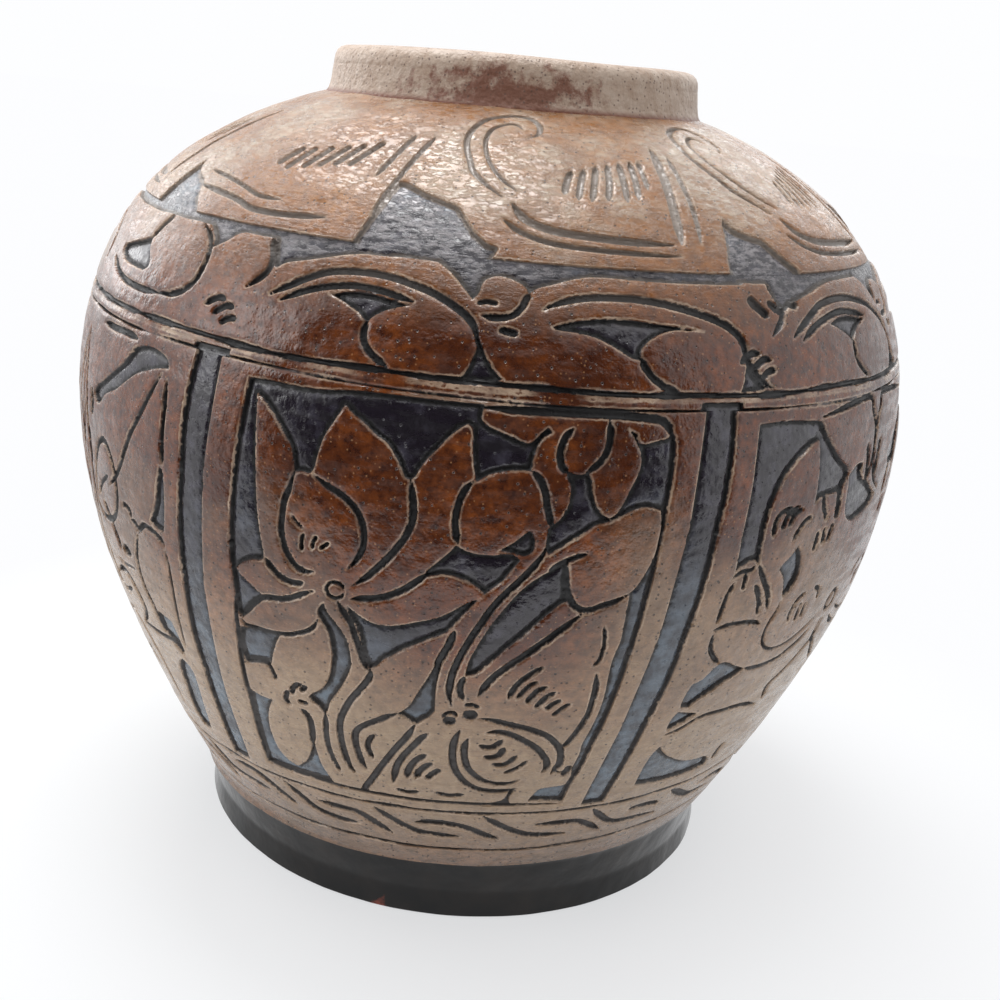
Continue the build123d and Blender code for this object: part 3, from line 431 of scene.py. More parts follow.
@dataclass(frozen=True)
class JarOutline:
    """Outside of the jar's wall, as radius and height in millimetres where its round stretches meet."""

    belly: Pair = (200.0, 222.0)
    below: Profile = ((184.5, 133.0), (138.0, 32.0))
    above: Profile = ((190.0, 279.0), (150.4, 331.5), (87.7, 361.5))
    arc_points: int = 240

    def arcs(self, way: Pair, stops: Profile) -> list[Pair]:
        """Points along round stretches from the belly, each tangent to the one before.

        Args:
            way: Direction at the belly.
            stops: Radius and height where each stretch ends.

        Returns:
            Radius and height of the points in order.
        """
        points = [self.belly]
        here, ahead = np.array(self.belly), np.array(way, float)
        for stop in stops:
            there = np.array(stop)
            side = np.array([-ahead[1], ahead[0]])
            reach = there - here
            bend = reach @ reach / (2 * side @ reach)
            middle = here + side * bend
            first = math.atan2(*(here - middle)[::-1])
            last = math.atan2(*(there - middle)[::-1])
            turn = (last - first + math.pi) % (2 * math.pi) - math.pi
            for share in np.linspace(0, 1, self.arc_points)[1:]:
                angle = first + turn * share
                points.append((middle[0] + abs(bend) * math.cos(angle),
                               middle[1] + abs(bend) * math.sin(angle)))
            spoke = (there - middle) / abs(bend)
            ahead = np.array([-spoke[1], spoke[0]]) * math.copysign(1, turn)
            here = there
        return points

    def table(self) -> dict[str, Array]:
        """Follow the outline from the foot's seam up.

        Returns:
            Radius, height, length up the wall and outward direction of its points.
        """
        low = self.arcs((0, -1), self.below)[::-1]
        high = self.arcs((0, 1), self.above)[1:]
        both = np.array(low + high)
        step = np.diff(both, axis=0)
        length = np.concatenate([[0], np.cumsum(np.hypot(step[:, 0], step[:, 1]))])
        way = np.gradient(both, length, axis=0)
        return {"r": both[:, 0], "z": both[:, 1], "s": length, "nr": way[:, 1], "nz": -way[:, 0]}


WALL = JarOutline().table()
SEAM = 32.0
FOOT_HEIGHTS = (0, 13, 31, 34, 38)
FOOT_RADII = (133.5, 132.6, 136.5, 138.2, 140.2)


def wall_radius(z: Array) -> Array:
    """Outside radius of the coat at a height, in millimetres."""
    return np.interp(z, WALL["z"], WALL["r"])


def foot_radius(z: Array) -> Array:
    """Outside radius of the plain foot at a height, in millimetres."""
    return np.interp(z, FOOT_HEIGHTS, FOOT_RADII)


def wall_length(z: Array) -> Array:
    """Length up the wall at a height, in millimetres."""
    return np.interp(z, WALL["z"], WALL["s"]) + np.minimum(z - SEAM, 0)


def height_of_length(low: float, high: float) -> Heights:
    """Function from a share of the wall's length between two heights to a height."""
    first, last = float(wall_length(low)), float(wall_length(high))
    return lambda share: np.interp(first + share * (last - first), WALL["s"], WALL["z"])


def straight_height(low: float, high: float) -> Heights:
    """Function from a share of the height between two heights to a height."""
    return lambda share: low + share * (high - low)


@dataclass(frozen=True)
class HandCut:
    """How bands and posts run on the thrown body: a slight lean and tilt, as cut by hand.

    Angles are in degrees, heights and rises in millimetres, and the lean is in degrees a millimetre.
    """

    turn: float = 2.15
    lean: float = 0.0229
    lean_height: float = 265.0
    view: float = 5.5
    heights: Span = (0, 32, 45, 72, 150, 269, 310, 350, 361.5)
    rises: Span = (0, 4, 6.5, 6.2, 3.4, -2.7, -2.2, -1.2, 0)

    def settle(self, across: Array, up: Array) -> tuple[Array, Array]:
        """Where ornament comes to lie on the jar.

        Args:
            across: Its angles as laid out.
            up: Its heights in a level band.

        Returns:
            Angles in radians and heights in millimetres.
        """
        angle = across + self.turn - (self.lean_height - up) * self.lean
        rise = np.interp(up, self.heights, self.rises)
        return np.radians(angle), up + rise * np.sin(np.radians(angle - self.view))


HAND = HandCut()
WAVES = 7
WAVE_SIZES = (0.6, 1.9)
WAVE_STARTS = (0, 6.28)
WAVE_HEIGHT = 3.2
FIRST_DRAW = 7


def waver(x: Array, y: Array, size: float, draw: int = 0) -> Array:
    """Smooth uneven value between about -1 and 1 over a flat field.

    Args:
        x: Places across, in millimetres.
        y: Places up.
        size: Rough size of its features, in millimetres.
        draw: Which of the fields of that size it is.

    Returns:
        Value at each place.
    """
    rng = np.random.default_rng(draw + FIRST_DRAW)
    total = np.zeros(np.broadcast(x, y).shape)
    for _ in range(WAVES):
        angle = rng.uniform(0, 2 * math.pi)
        pace = 2 * math.pi / (size * rng.uniform(*WAVE_SIZES))
        along = (x * math.cos(angle) + y * math.sin(angle)) * pace
        total += np.sin(along + rng.uniform(*WAVE_STARTS))
    return total / WAVE_HEIGHT


@dataclass(frozen=True)
class Uneven:
    """An unevenness of the handwork: how much, the size of its features in millimetres, and its draw."""

    amount: float
    size: float
    draw: int = 0

    def over(self, x: Array, y: Array, more: int = 0) -> Array:
        """Its value over a flat field, with the draw moved on by some."""
        return self.amount * waver(x, y, self.size, self.draw + more)


CURVE_SHARES = (0, 0.25, 0.5, 0.75)
FAR = 99.0
SHORTEST = 1e-9


def smooth_line(points: list[tuple[float, ...]], closed: bool) -> Array:
    """Points along a smooth curve through given points, straight into each marked corner.

    Args:
        points: Two numbers each, and a third where the curve turns sharply.
        closed: Whether the curve returns to its start.

    Returns:
        The curve's points, one row each.
    """
    base = np.array([p[:2] for p in points], float)
    sharp = [len(p) > 2 for p in points]
    count = len(base)
    out = []
    for k in range(count if closed else count - 1):
        a, b = base[k], base[(k + 1) % count]
        first = not closed and k == 0
        last = not closed and k == count - 2
        before = a * 2 - b if sharp[k] or first else base[k - 1]
        after = b * 2 - a if sharp[(k + 1) % count] or last else base[(k + 2) % count]
        for t in CURVE_SHARES:
            out.append(0.5 * (2 * a + (b - before) * t + (2 * before - 5 * a + 4 * b - after) * t * t
                              + (3 * a - before - 3 * b + after) * t ** 3))
    if not closed:
        out.append(base[-1])
    return np.array(out)


def segment_distance(x: Array, y: Array, line: Array,
                     halves: Array | None) -> Array:
    """Distance from points to a line of segments, less the line's half width where it has one.

    Args:
        x: Points across, in millimetres.
        y: Points up, in millimetres.
        line: The line's points.
        halves: Half width at each of the line's points, or None.

    Returns:
        Distance at each point.
    """
    best = np.full(x.shape, FAR)
    for k in range(len(line) - 1):
        ax, ay = line[k]
        dx, dy = line[k + 1] - line[k]
        size = dx * dx + dy * dy
        if size < SHORTEST:
            continue
        t = np.clip(((x - ax) * dx + (y - ay) * dy) / size, 0, 1)
        away = np.hypot(x - ax - t * dx, y - ay - t * dy)
        if halves is not None:
            away -= halves[k] + t * (halves[k + 1] - halves[k])
        np.minimum(best, away, out=best)
    return best


def inside(x: Array, y: Array, line: Array) -> Array:
    """Whether points lie inside a closed outline.

    Args:
        x: Points across.
        y: Points up.
        line: The outline's points, the first again at the end.

    Returns:
        Yes or no for each point.
    """
    odd = np.zeros(x.shape, bool)
    for (ax, ay), (bx, by) in zip(line[:-1], line[1:]):
        if ay == by:
            continue
        odd ^= ((ay > y) != (by > y)) & (x < (bx - ax) * (y - ay) / (by - ay) + ax)
    return odd


@dataclass
class Motif:
    """One carved motif: ground outlines and strokes round its own middle.

    The middle is an angle in degrees, the unit the degrees that a share of 1 across stands for, and
    the margin how far the motif reaches past its lines. A stroke narrows to its tips.
    """

    middle: float
    unit: float
    height_at: Heights
    grounds: Outlines = field(default_factory=list)
    strokes: Strokes = field(default_factory=list)
    margin: float = 4.5
    half_width: float = 0.62
    tip: float = 0.35
    tip_pace: float = 5

    def on_wall(self, points: Array) -> Array:
        """Angle from the motif's middle and band height of points given as shares."""
        return np.stack([points[:, 0] * self.unit, self.height_at(points[:, 1])], 1)

    @staticmethod
    def flat(across: Array, up: Array) -> tuple[Array, Array]:
        """Place in millimetres on the flattened wall of an angle and a band height."""
        return wall_radius(up) * np.radians(across), wall_length(up)

    def lines(self) -> list[tuple[Array, Array | None]]:
        """The motif's lines on the wall.

        Returns:
            Each line's points, with None for a ground and half widths for a stroke.
        """
        made = [(self.on_wall(smooth_line(points, True)), None) for points in self.grounds]
        for width, points in self.strokes:
            line = self.on_wall(smooth_line(points, False))
            share = np.linspace(0, 1, len(line))
            taper = np.ones(len(line))
            if len(points) > 2:
                taper = np.minimum(1, self.tip + self.tip_pace * np.minimum(share, 1 - share))
            made.append((line, width * self.half_width * taper))
        return made

    def press(self, columns: Array, rows: Array, ground: Array, cut: Array) -> None:
        """Lower the two distance fields of a grid where this motif is cut.

        Args:
            columns: The grid's angles.
            rows: The grid's band heights.
            ground: Distance outside the ground, changed in place.
            cut: Distance outside the strokes, changed in place.
        """
        for line, halves in self.lines():
            across, up = line[:, 0] + self.middle, line[:, 1]
            reach = math.degrees(self.margin / float(wall_radius(up.mean())))
            i0, i1 = np.searchsorted(columns, [across.min() - reach, across.max() + reach])
            j0, j1 = np.searchsorted(rows, [up.min() - self.margin, up.max() + self.margin])
            if i1 - i0 < 1 or j1 - j0 < 1:
                continue
            x, y = self.flat(columns[None, i0:i1] - self.middle, rows[j0:j1, None])
            y = np.broadcast_to(y, x.shape)
            flat_line = np.stack(self.flat(line[:, 0], up), 1)
            if halves is None:
                flat_line = np.concatenate([flat_line, flat_line[:1]])
                away = segment_distance(x, y, flat_line, None)
                away = np.where(inside(x, y, flat_line), -away, away)
                block = ground[j0:j1, i0:i1]
            else:
                away = segment_distance(x, y, flat_line, halves)
                block = cut[j0:j1, i0:i1]
            np.minimum(block, away, out=block)


OPEN = 9.0
NEAR = 5.0
DEGREE = 3.2


@dataclass(frozen=True)
class RingLine:
    """How a line round the jar wanders up and down, and how its width swells."""

    wander: Uneven
    swell: Uneven

    def away(self, around: Array, up: Array, height: float, width: float) -> Array:
        """Distance outside the line over a grid, in millimetres.

        Args:
            around: Lengths round the jar.
            up: Lengths up the wall.
            height: The line's height.
            width: Its width.

        Returns:
            Distance at each place.
        """
        draw = int(height)
        half = width / 2 * (1 + self.swell.over(around, height, draw))
        return np.abs(up - wall_length(height) - self.wander.over(around, height, draw)) - half


@dataclass
class Relief:
    """All that is cut into one piece of coat: its motifs, lines and beads round it, and sunk margins."""

    motifs: list[Motif] = field(default_factory=list)
    lines: Profile = ()
    beads: Profile = ()
    sunk_over: float | None = None
    sunk_under: float | None = None
    line: RingLine = RingLine(Uneven(0.45, 70), Uneven(0.22, 22, 3))
    bead: RingLine = RingLine(Uneven(0.4, 60), Uneven(0.4, 18, 5))
    bead_floor: float = 0.02
    margin: Uneven = Uneven(0.5, 26)

    def fields(self, columns: Array, rows: Array) -> tuple[Array, Array]:
        """Cut everything into a grid.

        Args:
            columns: The grid's angles.
            rows: Its band heights.

        Returns:
            Distances outside the ground and outside the cuts, in millimetres.
        """
        ground = np.full((len(rows), len(columns)), OPEN)
        cut = np.full(ground.shape, OPEN)
        for motif in self.motifs:
            motif.press(columns, rows, ground, cut)
        up = wall_length(rows)[:, None]
        around = columns[None, :] * DEGREE
        for height, width in self.lines:
            np.minimum(cut, self.line.away(around, up, height, width), out=cut)
        for height, width in self.beads:
            away = np.maximum(self.bead.away(around, up, height, width), self.bead_floor)
            np.minimum(cut, away, out=cut)
        if self.sunk_over is not None:
            away = wall_length(self.sunk_over) + self.margin.over(around, 0) - up
            np.minimum(ground, away, out=ground)
        if self.sunk_under is not None:
            np.minimum(ground, up - wall_length(self.sunk_under), out=ground)
        return ground, cut


@dataclass(frozen=True)
class CutSection:
    """Section of the carving in millimetres: worn rim, steep wall, and floors by way into the cut."""

    swell: Uneven = Uneven(0.14, 34, 1)
    ripple: Uneven = Uneven(0.05, 9, 2)
    wear_and_reflection: float = 0.26
    worn_reach: float = 0.55
    wall: float = 0.75
    into_ground: Span = (0.7, 1.7, 2.6, 6.0)
    ground_floor: Span = (-1.95, -1.95, -1.4, -1.3)
    tooling: Uneven = Uneven(0.10, 3.4, 4)
    into_groove: Span = (0.5, 1.4)
    groove_floor: Span = (-1.6, -1.95)

    def height(self, ground: Array, cut: Array, x: Array, y: Array) -> Array:
        """Height of the carved surface over the coat's outside, in millimetres.

        Args:
            ground: Distance outside the ground.
            cut: Distance outside the strokes.
            x: Places across.
            y: Places up.

        Returns:
            Height at each place.
        """
        edge = np.minimum(ground, cut)
        rise = self.swell.over(x, y) + self.ripple.over(x, y)
        top = rise - self.wear_and_reflection * np.exp(-np.maximum(edge, 0) / self.worn_reach)
        floor = np.interp(-ground, self.into_ground, self.ground_floor) + self.tooling.over(x, y)
        floor = np.where(cut < ground, np.interp(-cut, self.into_groove, self.groove_floor), floor)
        wall = np.clip(-edge / self.wall, 0, 1)
        wall = wall * wall * (3 - 2 * wall)
        return np.where(edge > 0, top, (rise - self.wear_and_reflection) * (1 - wall) + floor * wall)


COARSE = 4
FULL_TURN = 360.0


@dataclass
class CoatPiece:
    """A closed piece of carved coat over part of the wall, proud of it and reaching back behind it.

    Its back grid has one step for every few of the front. Grid points less than a share of a step
    away slide onto the carving's edges, where the distance changes at a pace near 1.
    """

    name: str
    nodes: tuple[str, ...]
    columns: Array
    rows: Array
    relief: Relief
    slot: str = "glaze"
    proud: float = 0.7
    back: float = 1.4
    low_radius: Heights | None = None
    section: CutSection = CutSection()
    slide: float = 0.47
    slide_pace: Pair = (0.45, 1.8)
    least_pace: float = 0.2
    crease: float = 42

    def crisp(self, across: Array, up: Array, edge: Array) -> Array:
        """Slide grid points onto the rim and the foot of each carved wall, so that it runs clean.

        Args:
            across: Angles, changed in place.
            up: Band heights, changed in place.
            edge: Distance to the nearest carved rim, below zero in the cut.

        Returns:
            The distance at the moved points.
        """
        degree = wall_radius(up) * math.radians(1)
        step_x = np.gradient(across, axis=1) * degree
        step_y = np.gradient(wall_length(up), axis=0)
        slope_y, slope_x = np.gradient(edge)
        slope_x = slope_x / step_x
        slope_y = slope_y / step_y
        pace = slope_x ** 2 + slope_y ** 2
        near = self.slide * max(float(np.median(step_x)), float(np.median(step_y)))
        least, most = self.slide_pace
        out = edge.copy()
        for level in (0.0, -self.section.wall):
            away = edge - level
            move = (np.abs(away) < near) & (pace > least) & (pace < most)
            move[0], move[-1], move[:, 0], move[:, -1] = False, False, False, False
            shift = np.where(move, -away / np.maximum(pace, self.least_pace), 0)
            across += shift * slope_x / degree
            up += shift * slope_y * np.gradient(up, axis=0) / step_y
            out[move] = level
        return out

    def places(self, across: Array, up: Array, height: Array) -> Array:
        """Where points of the surface lie.

        Args:
            across: Their angles as laid out.
            up: Their band heights.
            height: Their heights over the coat's plain outside.

        Returns:
            The points in metres.
        """
        angle, z = HAND.settle(across, up)
        if self.low_radius is None:
            radius = wall_radius(z) + height * np.interp(z, WALL["z"], WALL["nr"])
            z = z + height * np.interp(z, WALL["z"], WALL["nz"])
        else:
            radius = self.low_radius(z) + height
        return np.stack([radius * np.sin(angle), -radius * np.cos(angle), z], -1) * MM

    def build(self) -> Object:
        """Make the closed mesh with its distance attributes.

        Returns:
            The piece's object.
        """
        ground, cut = self.relief.fields(self.columns, self.rows)
        across, up = (grid.copy() for grid in np.meshgrid(self.columns, self.rows))
        edge = self.crisp(across, up, np.minimum(ground, cut))
        cut = np.where(cut < ground, edge, cut)
        ground = np.where(cut < ground, ground, np.where(ground < NEAR, edge, ground))
        height = self.proud + self.section.height(ground, cut, *Motif.flat(across, up))
        front = self.places(across, up, height)
        behind = np.meshgrid(self.columns[::COARSE], self.rows[::COARSE])
        back = self.places(*behind, np.full(1, -self.back))
        ring = math.isclose(self.columns[-1] - self.columns[0], FULL_TURN)
        if ring:
            front, back, edge, ground = (grid[:, :-1] for grid in (front, back, edge, ground))
        points = np.concatenate([front.reshape(-1, 3), back.reshape(-1, 3)])
        mesh = bpy.data.meshes.new(self.name)
        mesh.from_pydata(points.tolist(), [], self.faces(front.shape[:2], back.shape[:2], ring))
        unseen = np.zeros(back.shape[0] * back.shape[1])
        for title, values in (("edge", np.minimum(edge, OPEN)), ("ground", -np.minimum(ground, OPEN))):
            attribute = mesh.attributes.new(title, "FLOAT", "POINT")
            every = np.concatenate([values.ravel(), unseen]).astype(np.float32)
            attribute.data.foreach_set("value", every)
        piece = bpy.data.objects.new(self.name, mesh)
        bpy.context.collection.objects.link(piece)
        smooth(piece, self.crease)
        return piece

    @staticmethod
    def faces(front: tuple[int, int], back: tuple[int, int], ring: bool) -> list[tuple[int, ...]]:
        """Faces of the piece.

        Args:
            front: Rows and columns of the carved grid.
            back: Rows and columns of the coarser grid behind it.
            ring: Whether the grids close on themselves all round the jar.

        Returns:
            The faces of both grids and of the strips that join their rims.
        """
        rows, columns = front
        ids = np.arange(rows * columns).reshape(rows, columns)
        behind = np.arange(back[0] * back[1]).reshape(back) + rows * columns
        if ring:
            ids, behind = (np.concatenate([grid, grid[:, :1]], 1) for grid in (ids, behind))
        faces = []
        for grid, turned in ((ids, False), (behind, True)):
            corners = [grid[:-1, :-1], grid[:-1, 1:], grid[1:, 1:], grid[1:, :-1]]
            if turned:
                corners[1], corners[3] = corners[3], corners[1]
            faces += [tuple(face) for face in np.stack(corners, -1).reshape(-1, 4).tolist()]
        rims = [(ids[0], behind[0], True), (ids[-1], behind[-1], False)]
        if not ring:
            rims += [(ids[:, 0], behind[:, 0], False), (ids[:, -1], behind[:, -1], True)]
        for rim, base, turned in rims:
            rim, base = rim.tolist(), base.tolist()
            for k in range(len(base) - 1):
                run = rim[k * COARSE:(k + 1) * COARSE + 1]
                fan = [(base[k], a, b) for a, b in zip(run[:-1], run[1:])]
                fan.append((base[k], run[-1], base[k + 1]))
                faces.extend([face[::-1] for face in fan] if turned else fan)
        return faces


def even_steps(low: float, high: float, step: float) -> Array:
    """Even values from low to high about a step apart, their count one that the back can follow."""
    count = max(1, round((high - low) / step / COARSE)) * COARSE
    return np.linspace(low, high, count + 1)


RING_RADIUS = 175


def ring_columns(fine: float, rough: float, half: float = 112.0) -> Array:
    """Angles all round the jar, finer on the side that the carving is best seen from.

    Args:
        fine: Step on that side, in millimetres.
        rough: Step on the far side, in millimetres.
        half: Degrees from the middle to where that side ends.

    Returns:
        Angles in degrees.
    """
    degrees = math.degrees(1 / RING_RADIUS)
    left = even_steps(-FULL_TURN / 2, -half, rough * degrees)
    right = even_steps(half, FULL_TURN / 2, rough * degrees)
    return np.concatenate([left[:-1], even_steps(-half, half, fine * degrees), right[1:]])


def deselect() -> None:
    """Leave no object selected."""
    for item in bpy.context.selected_objects:
        item.select_set(False)


def choose(piece: Object) -> None:
    """Make one object the only selected one, and the active one.

    Args:
        piece: The object.
    """
    deselect()
    piece.select_set(True)
    bpy.context.view_layer.objects.active = piece


def smooth(piece: Object, degrees: float) -> None:
    """Shade a piece smooth, but for edges sharper than an angle.

    Args:
        piece: The object.
        degrees: The angle.
    """
    choose(piece)
    bpy.ops.object.shade_smooth_by_angle(angle=math.radians(degrees))
    deselect()


class PanelKind(Enum):
    """What is carved in a panel."""

    LOTUS = "lotus"
    PEONY = "peony"
    LEAF = "leaf"


def pricked(x: float, y: float) -> list[tuple[float, ...]]:
    """Outline of a small round hole pricked with a stick, at a place given in shares of a panel."""
    wide, high = PRICK_SIZE
    return [(x + wide * math.cos(turn), y + high * math.sin(turn)) for turn in PRICK_TURNS]


def mirrored(outlines: Outlines) -> Outlines:
    """The same outlines with left and right swapped."""
    return [[(-p[0], *p[1:]) for p in points] for points in outlines]


def mirrored_strokes(strokes: Strokes) -> Strokes:
    """The same strokes with left and right swapped."""
    return [(width, [(-x, y) for x, y in points]) for width, points in strokes]


@dataclass(frozen=True)
class Carving:
    """Everything that is carved round the jar, in its places.

    Units and pitches are in degrees. Heights are in millimetres: where a motif's shares run from 0 to 1.
    """

    panel_unit: float = 25.0
    panel_pitch: float = 60.0
    panel_heights: Pair = (80.0, 262.0)
    scroll_unit: float = FULL_TURN / 11
    scroll_heights: Pair = (269.0, 311.0)
    lappet_unit: float = 50.0
    lappet_pitch: float = 45.0
    lappet_heights: Pair = (309.0, 361.4)
    fret_pitch: float = FULL_TURN / 21
    post_places: range = range(-4, 5)
    scroll_places: range = range(-6, 6)
    outer_scroll: int = -2
    lappet_places: range = range(-5, 6)
    fret_places: range = range(-11, 12)
    drawn_falls: int = 2

    def panel(self, kind: PanelKind, middle: float) -> list[Motif]:
        """Motifs of one panel with its posts.

        Args:
            kind: What is carved in it.
            middle: Its angle.

        Returns:
            The motifs.
        """
        if kind is PanelKind.LOTUS:
            grounds = LOTUS_GROUND + [pricked(*place) for place in LOTUS_PRICKS]
            strokes = LOTUS_STROKES
        elif kind is PanelKind.PEONY:
            grounds = PEONY_GROUND + mirrored(PEONY_GROUND) + PEONY_MIDDLE_GROUND
            strokes = PEONY_STROKES + mirrored_strokes(PEONY_STROKES)
        else:
            grounds = LEAF_GROUND + mirrored(LEAF_GROUND)
            side = LEAF_STROKES + LEAF_MIDDLE_STROKES
            strokes = side + mirrored_strokes(side) + LEAF_VEIN_STROKES
        up = straight_height(*self.panel_heights)
        return [Motif(middle, self.panel_unit, up, grounds + POST_GAP_GROUND, strokes)]

    def post_ends(self) -> list[Motif]:
        """The sunk strips between the posts, which run up into the rail.

        Returns:
            One motif for each pair of posts.
        """
        up = straight_height(*self.panel_heights)
        return [Motif(self.panel_pitch * k, self.panel_unit, up, POST_GAP_GROUND)
                for k in self.post_places]

    def scroll(self) -> list[Motif]:
        """The leaf scroll, a wave and a curl by turns, and at the left the two as they are seen there.

        Returns:
            One motif for each wave or curl.
        """
        up = height_of_length(*self.scroll_heights)
        out = []
        for k in self.scroll_places:
            if k == self.outer_scroll:
                shift, cuts = 0, (OUTER_LEFT_GROUND, OUTER_LEFT_STROKES)
            elif k % 2 == 0 and k > self.scroll_places[0]:
                shift, cuts = k, (WAVE_GROUND, WAVE_STROKES)
            else:
                shift, cuts = k + 1, (CURL_GROUND, CURL_STROKES)
            out.append(Motif(shift * self.scroll_unit, self.scroll_unit, up, *cuts))
        return out

    def lappets(self) -> list[Motif]:
        """The gaps between the lappets and their brushed hatching, in four turns that repeat.

        Returns:
            The gap and the hatching at each place.
        """
        up = height_of_length(*self.lappet_heights)
        out = []
        for k in self.lappet_places:
            gap = (k, LAPPET_GROUND, []) if k % 2 == 0 else (k - 1, RIGHT_GAP_GROUND, [])
            hatching = (k + 1, [], LEFT_LAPPET_STROKES) if k % 4 == 3 else (k, [], LAPPET_STROKES)
            for shift, grounds, strokes in (gap, hatching):
                out.append(Motif(shift * self.lappet_pitch, self.lappet_unit, up, grounds, strokes))
        return out

    def fret(self) -> list[Motif]:
        """The running fret over the foot band, drawn apart at the front and repeated all round.

        Returns:
            The front's motif, then the repeats.
        """
        up = straight_height(0, 1)
        places = [k * self.fret_pitch for k in self.fret_places if abs(k) > self.drawn_falls]
        front = Motif(0, 1, up, [], FRET_FALLS)
        return [front, *(Motif(place, 1, up, [], FRET_REPEAT) for place in places)]


@dataclass(frozen=True)
class Coat:
    """The carved glaze coat: bands, panels and lappets over the thrown wall, in millimetres and degrees.

    Lines round the jar are a height and a width. A grid's steps are finer where the piece is seen from
    the front.
    """

    foot_line: Pair = (45.1, 2.4)
    fret_line: Pair = (72.3, 2.4)
    rail_line: Pair = (269.6, 2.6)
    rail_groove: Pair = (264.0, 1.3)
    rail_bead: Pair = (267.5, 1.0)
    lappet_foot: float = 311.0
    lappet_step: float = 311.3
    gap_step: float = 3.4
    neck: float = 361.5
    foot_skin_heights: tuple[float, float, int] = (0.8, 33.6, 25)
    foot_skin_steps: Pair = (1.3, 2)
    foot_skin_proud: float = 0.5
    foot_skin_back: float = 0.6
    foot_band_steps: Pair = (1.1, 2)
    foot_band_rise: float = 0.8
    carved_band_steps: tuple[float, float, float] = (0.75, 1.8, 104)
    carved_band_rise: float = 0.8
    rail_steps: Pair = (0.8, 1.6)
    rail_rise: float = 0.6
    panel_steps: Pair = (0.8, 1.6)
    panel_radius: float = 190
    panel_reach: Pair = (-29.75, 30.25)
    panels_behind: tuple[int, ...] = (2, 3, 4)
    lappet_steps: Pair = (0.7, 1.2)
    lappet_radius: float = 150
    first_lappet: float = -14.25
    last_start: float = 170
    lappets_behind: tuple[int, ...] = (3, 4, 5)
    lappet_count: int = 8
    carving: Carving = Carving()
    kinds: tuple[PanelKind, ...] = (PanelKind.LOTUS, PanelKind.PEONY, PanelKind.LEAF) * 2

    @property
    def lines(self) -> Profile:
        """The lines that run all round the jar."""
        return (self.foot_line, self.fret_line, self.rail_line, self.rail_groove)

    @staticmethod
    def rows(low: float, high: float, step: float) -> Array:
        """Band heights between two, about a step apart along the wall."""
        share = even_steps(0, 1, step / float(wall_length(high) - wall_length(low)))
        return height_of_length(low, high)(share)

    def pieces(self) -> list[CoatPiece]:
        """Every piece of the coat, from the foot up."""
        return self.low_bands() + self.panels() + self.high_bands() + self.lappets()

    def low_bands(self) -> list[CoatPiece]:
        """The black skin of the foot, the plain band over it, and the fret.

        Returns:
            The three pieces, from the foot up.
        """
        foot, fret = self.foot_line[0], self.fret_line[0]
        return [
            CoatPiece("black_foot_skin", (), ring_columns(*self.foot_skin_steps),
                      np.linspace(*self.foot_skin_heights), Relief(), "foot_glaze",
                      self.foot_skin_proud, self.foot_skin_back, foot_radius),
            CoatPiece("foot_band", ("coat_foot_band",), ring_columns(*self.foot_band_steps),
                      self.rows(SEAM, foot, self.foot_band_rise), Relief(lines=self.lines)),
            CoatPiece("fret_band", ("coat_fret_band",), ring_columns(*self.carved_band_steps),
                      self.rows(foot, fret, self.carved_band_rise),
                      Relief(self.carving.fret(), self.lines)),
        ]

    def panels(self) -> list[CoatPiece]:
        """The six panels, each with the posts beside it.

        Returns:
            One piece for each panel.
        """
        made = []
        for k, kind in enumerate(self.kinds):
            middle = self.carving.panel_pitch * k
            middle -= FULL_TURN if middle > FULL_TURN / 2 else 0
            step = self.panel_steps[k in self.panels_behind]
            left, right = self.panel_reach
            columns = even_steps(middle + left, middle + right, math.degrees(step / self.panel_radius))
            made.append(CoatPiece(f"{kind.value}_panel_{k + 1}", (f"coat_panel_{k + 1}",), columns,
                                  self.rows(self.fret_line[0], self.rail_groove[0], step),
                                  Relief(self.carving.panel(kind, middle), self.lines)))
        return made

    def high_bands(self) -> list[CoatPiece]:
        """The plain rail and the leaf scroll.

        Returns:
            The two pieces.
        """
        low, high = self.rail_groove[0], self.rail_line[0]
        return [
            CoatPiece("rail_band", ("coat_rail",), ring_columns(*self.rail_steps),
                      self.rows(low, high, self.rail_rise),
                      Relief(self.carving.post_ends(), self.lines, (self.rail_bead,))),
            CoatPiece("scroll_band", ("coat_scroll_band",), ring_columns(*self.carved_band_steps),
                      self.rows(high, self.lappet_foot, self.carved_band_rise),
                      Relief(self.carving.scroll(), self.lines,
                             sunk_over=self.lappet_step - self.gap_step)),
        ]

    def lappets(self) -> list[CoatPiece]:
        """The eight lappets under the neck.

        Returns:
            One piece for each lappet.
        """
        made = []
        for k in range(self.lappet_count):
            first = self.first_lappet + self.carving.lappet_pitch * k
            first -= FULL_TURN if first > self.last_start else 0
            step = self.lappet_steps[k in self.lappets_behind]
            columns = even_steps(first, first + self.carving.lappet_pitch,
                                 math.degrees(step / self.lappet_radius))
            made.append(CoatPiece(f"lappet_{k + 1}", (f"coat_lappet_{k + 1}",), columns,
                                  self.rows(self.lappet_foot, self.neck, step),
                                  Relief(self.carving.lappets(), sunk_under=self.lappet_step)))
        return made


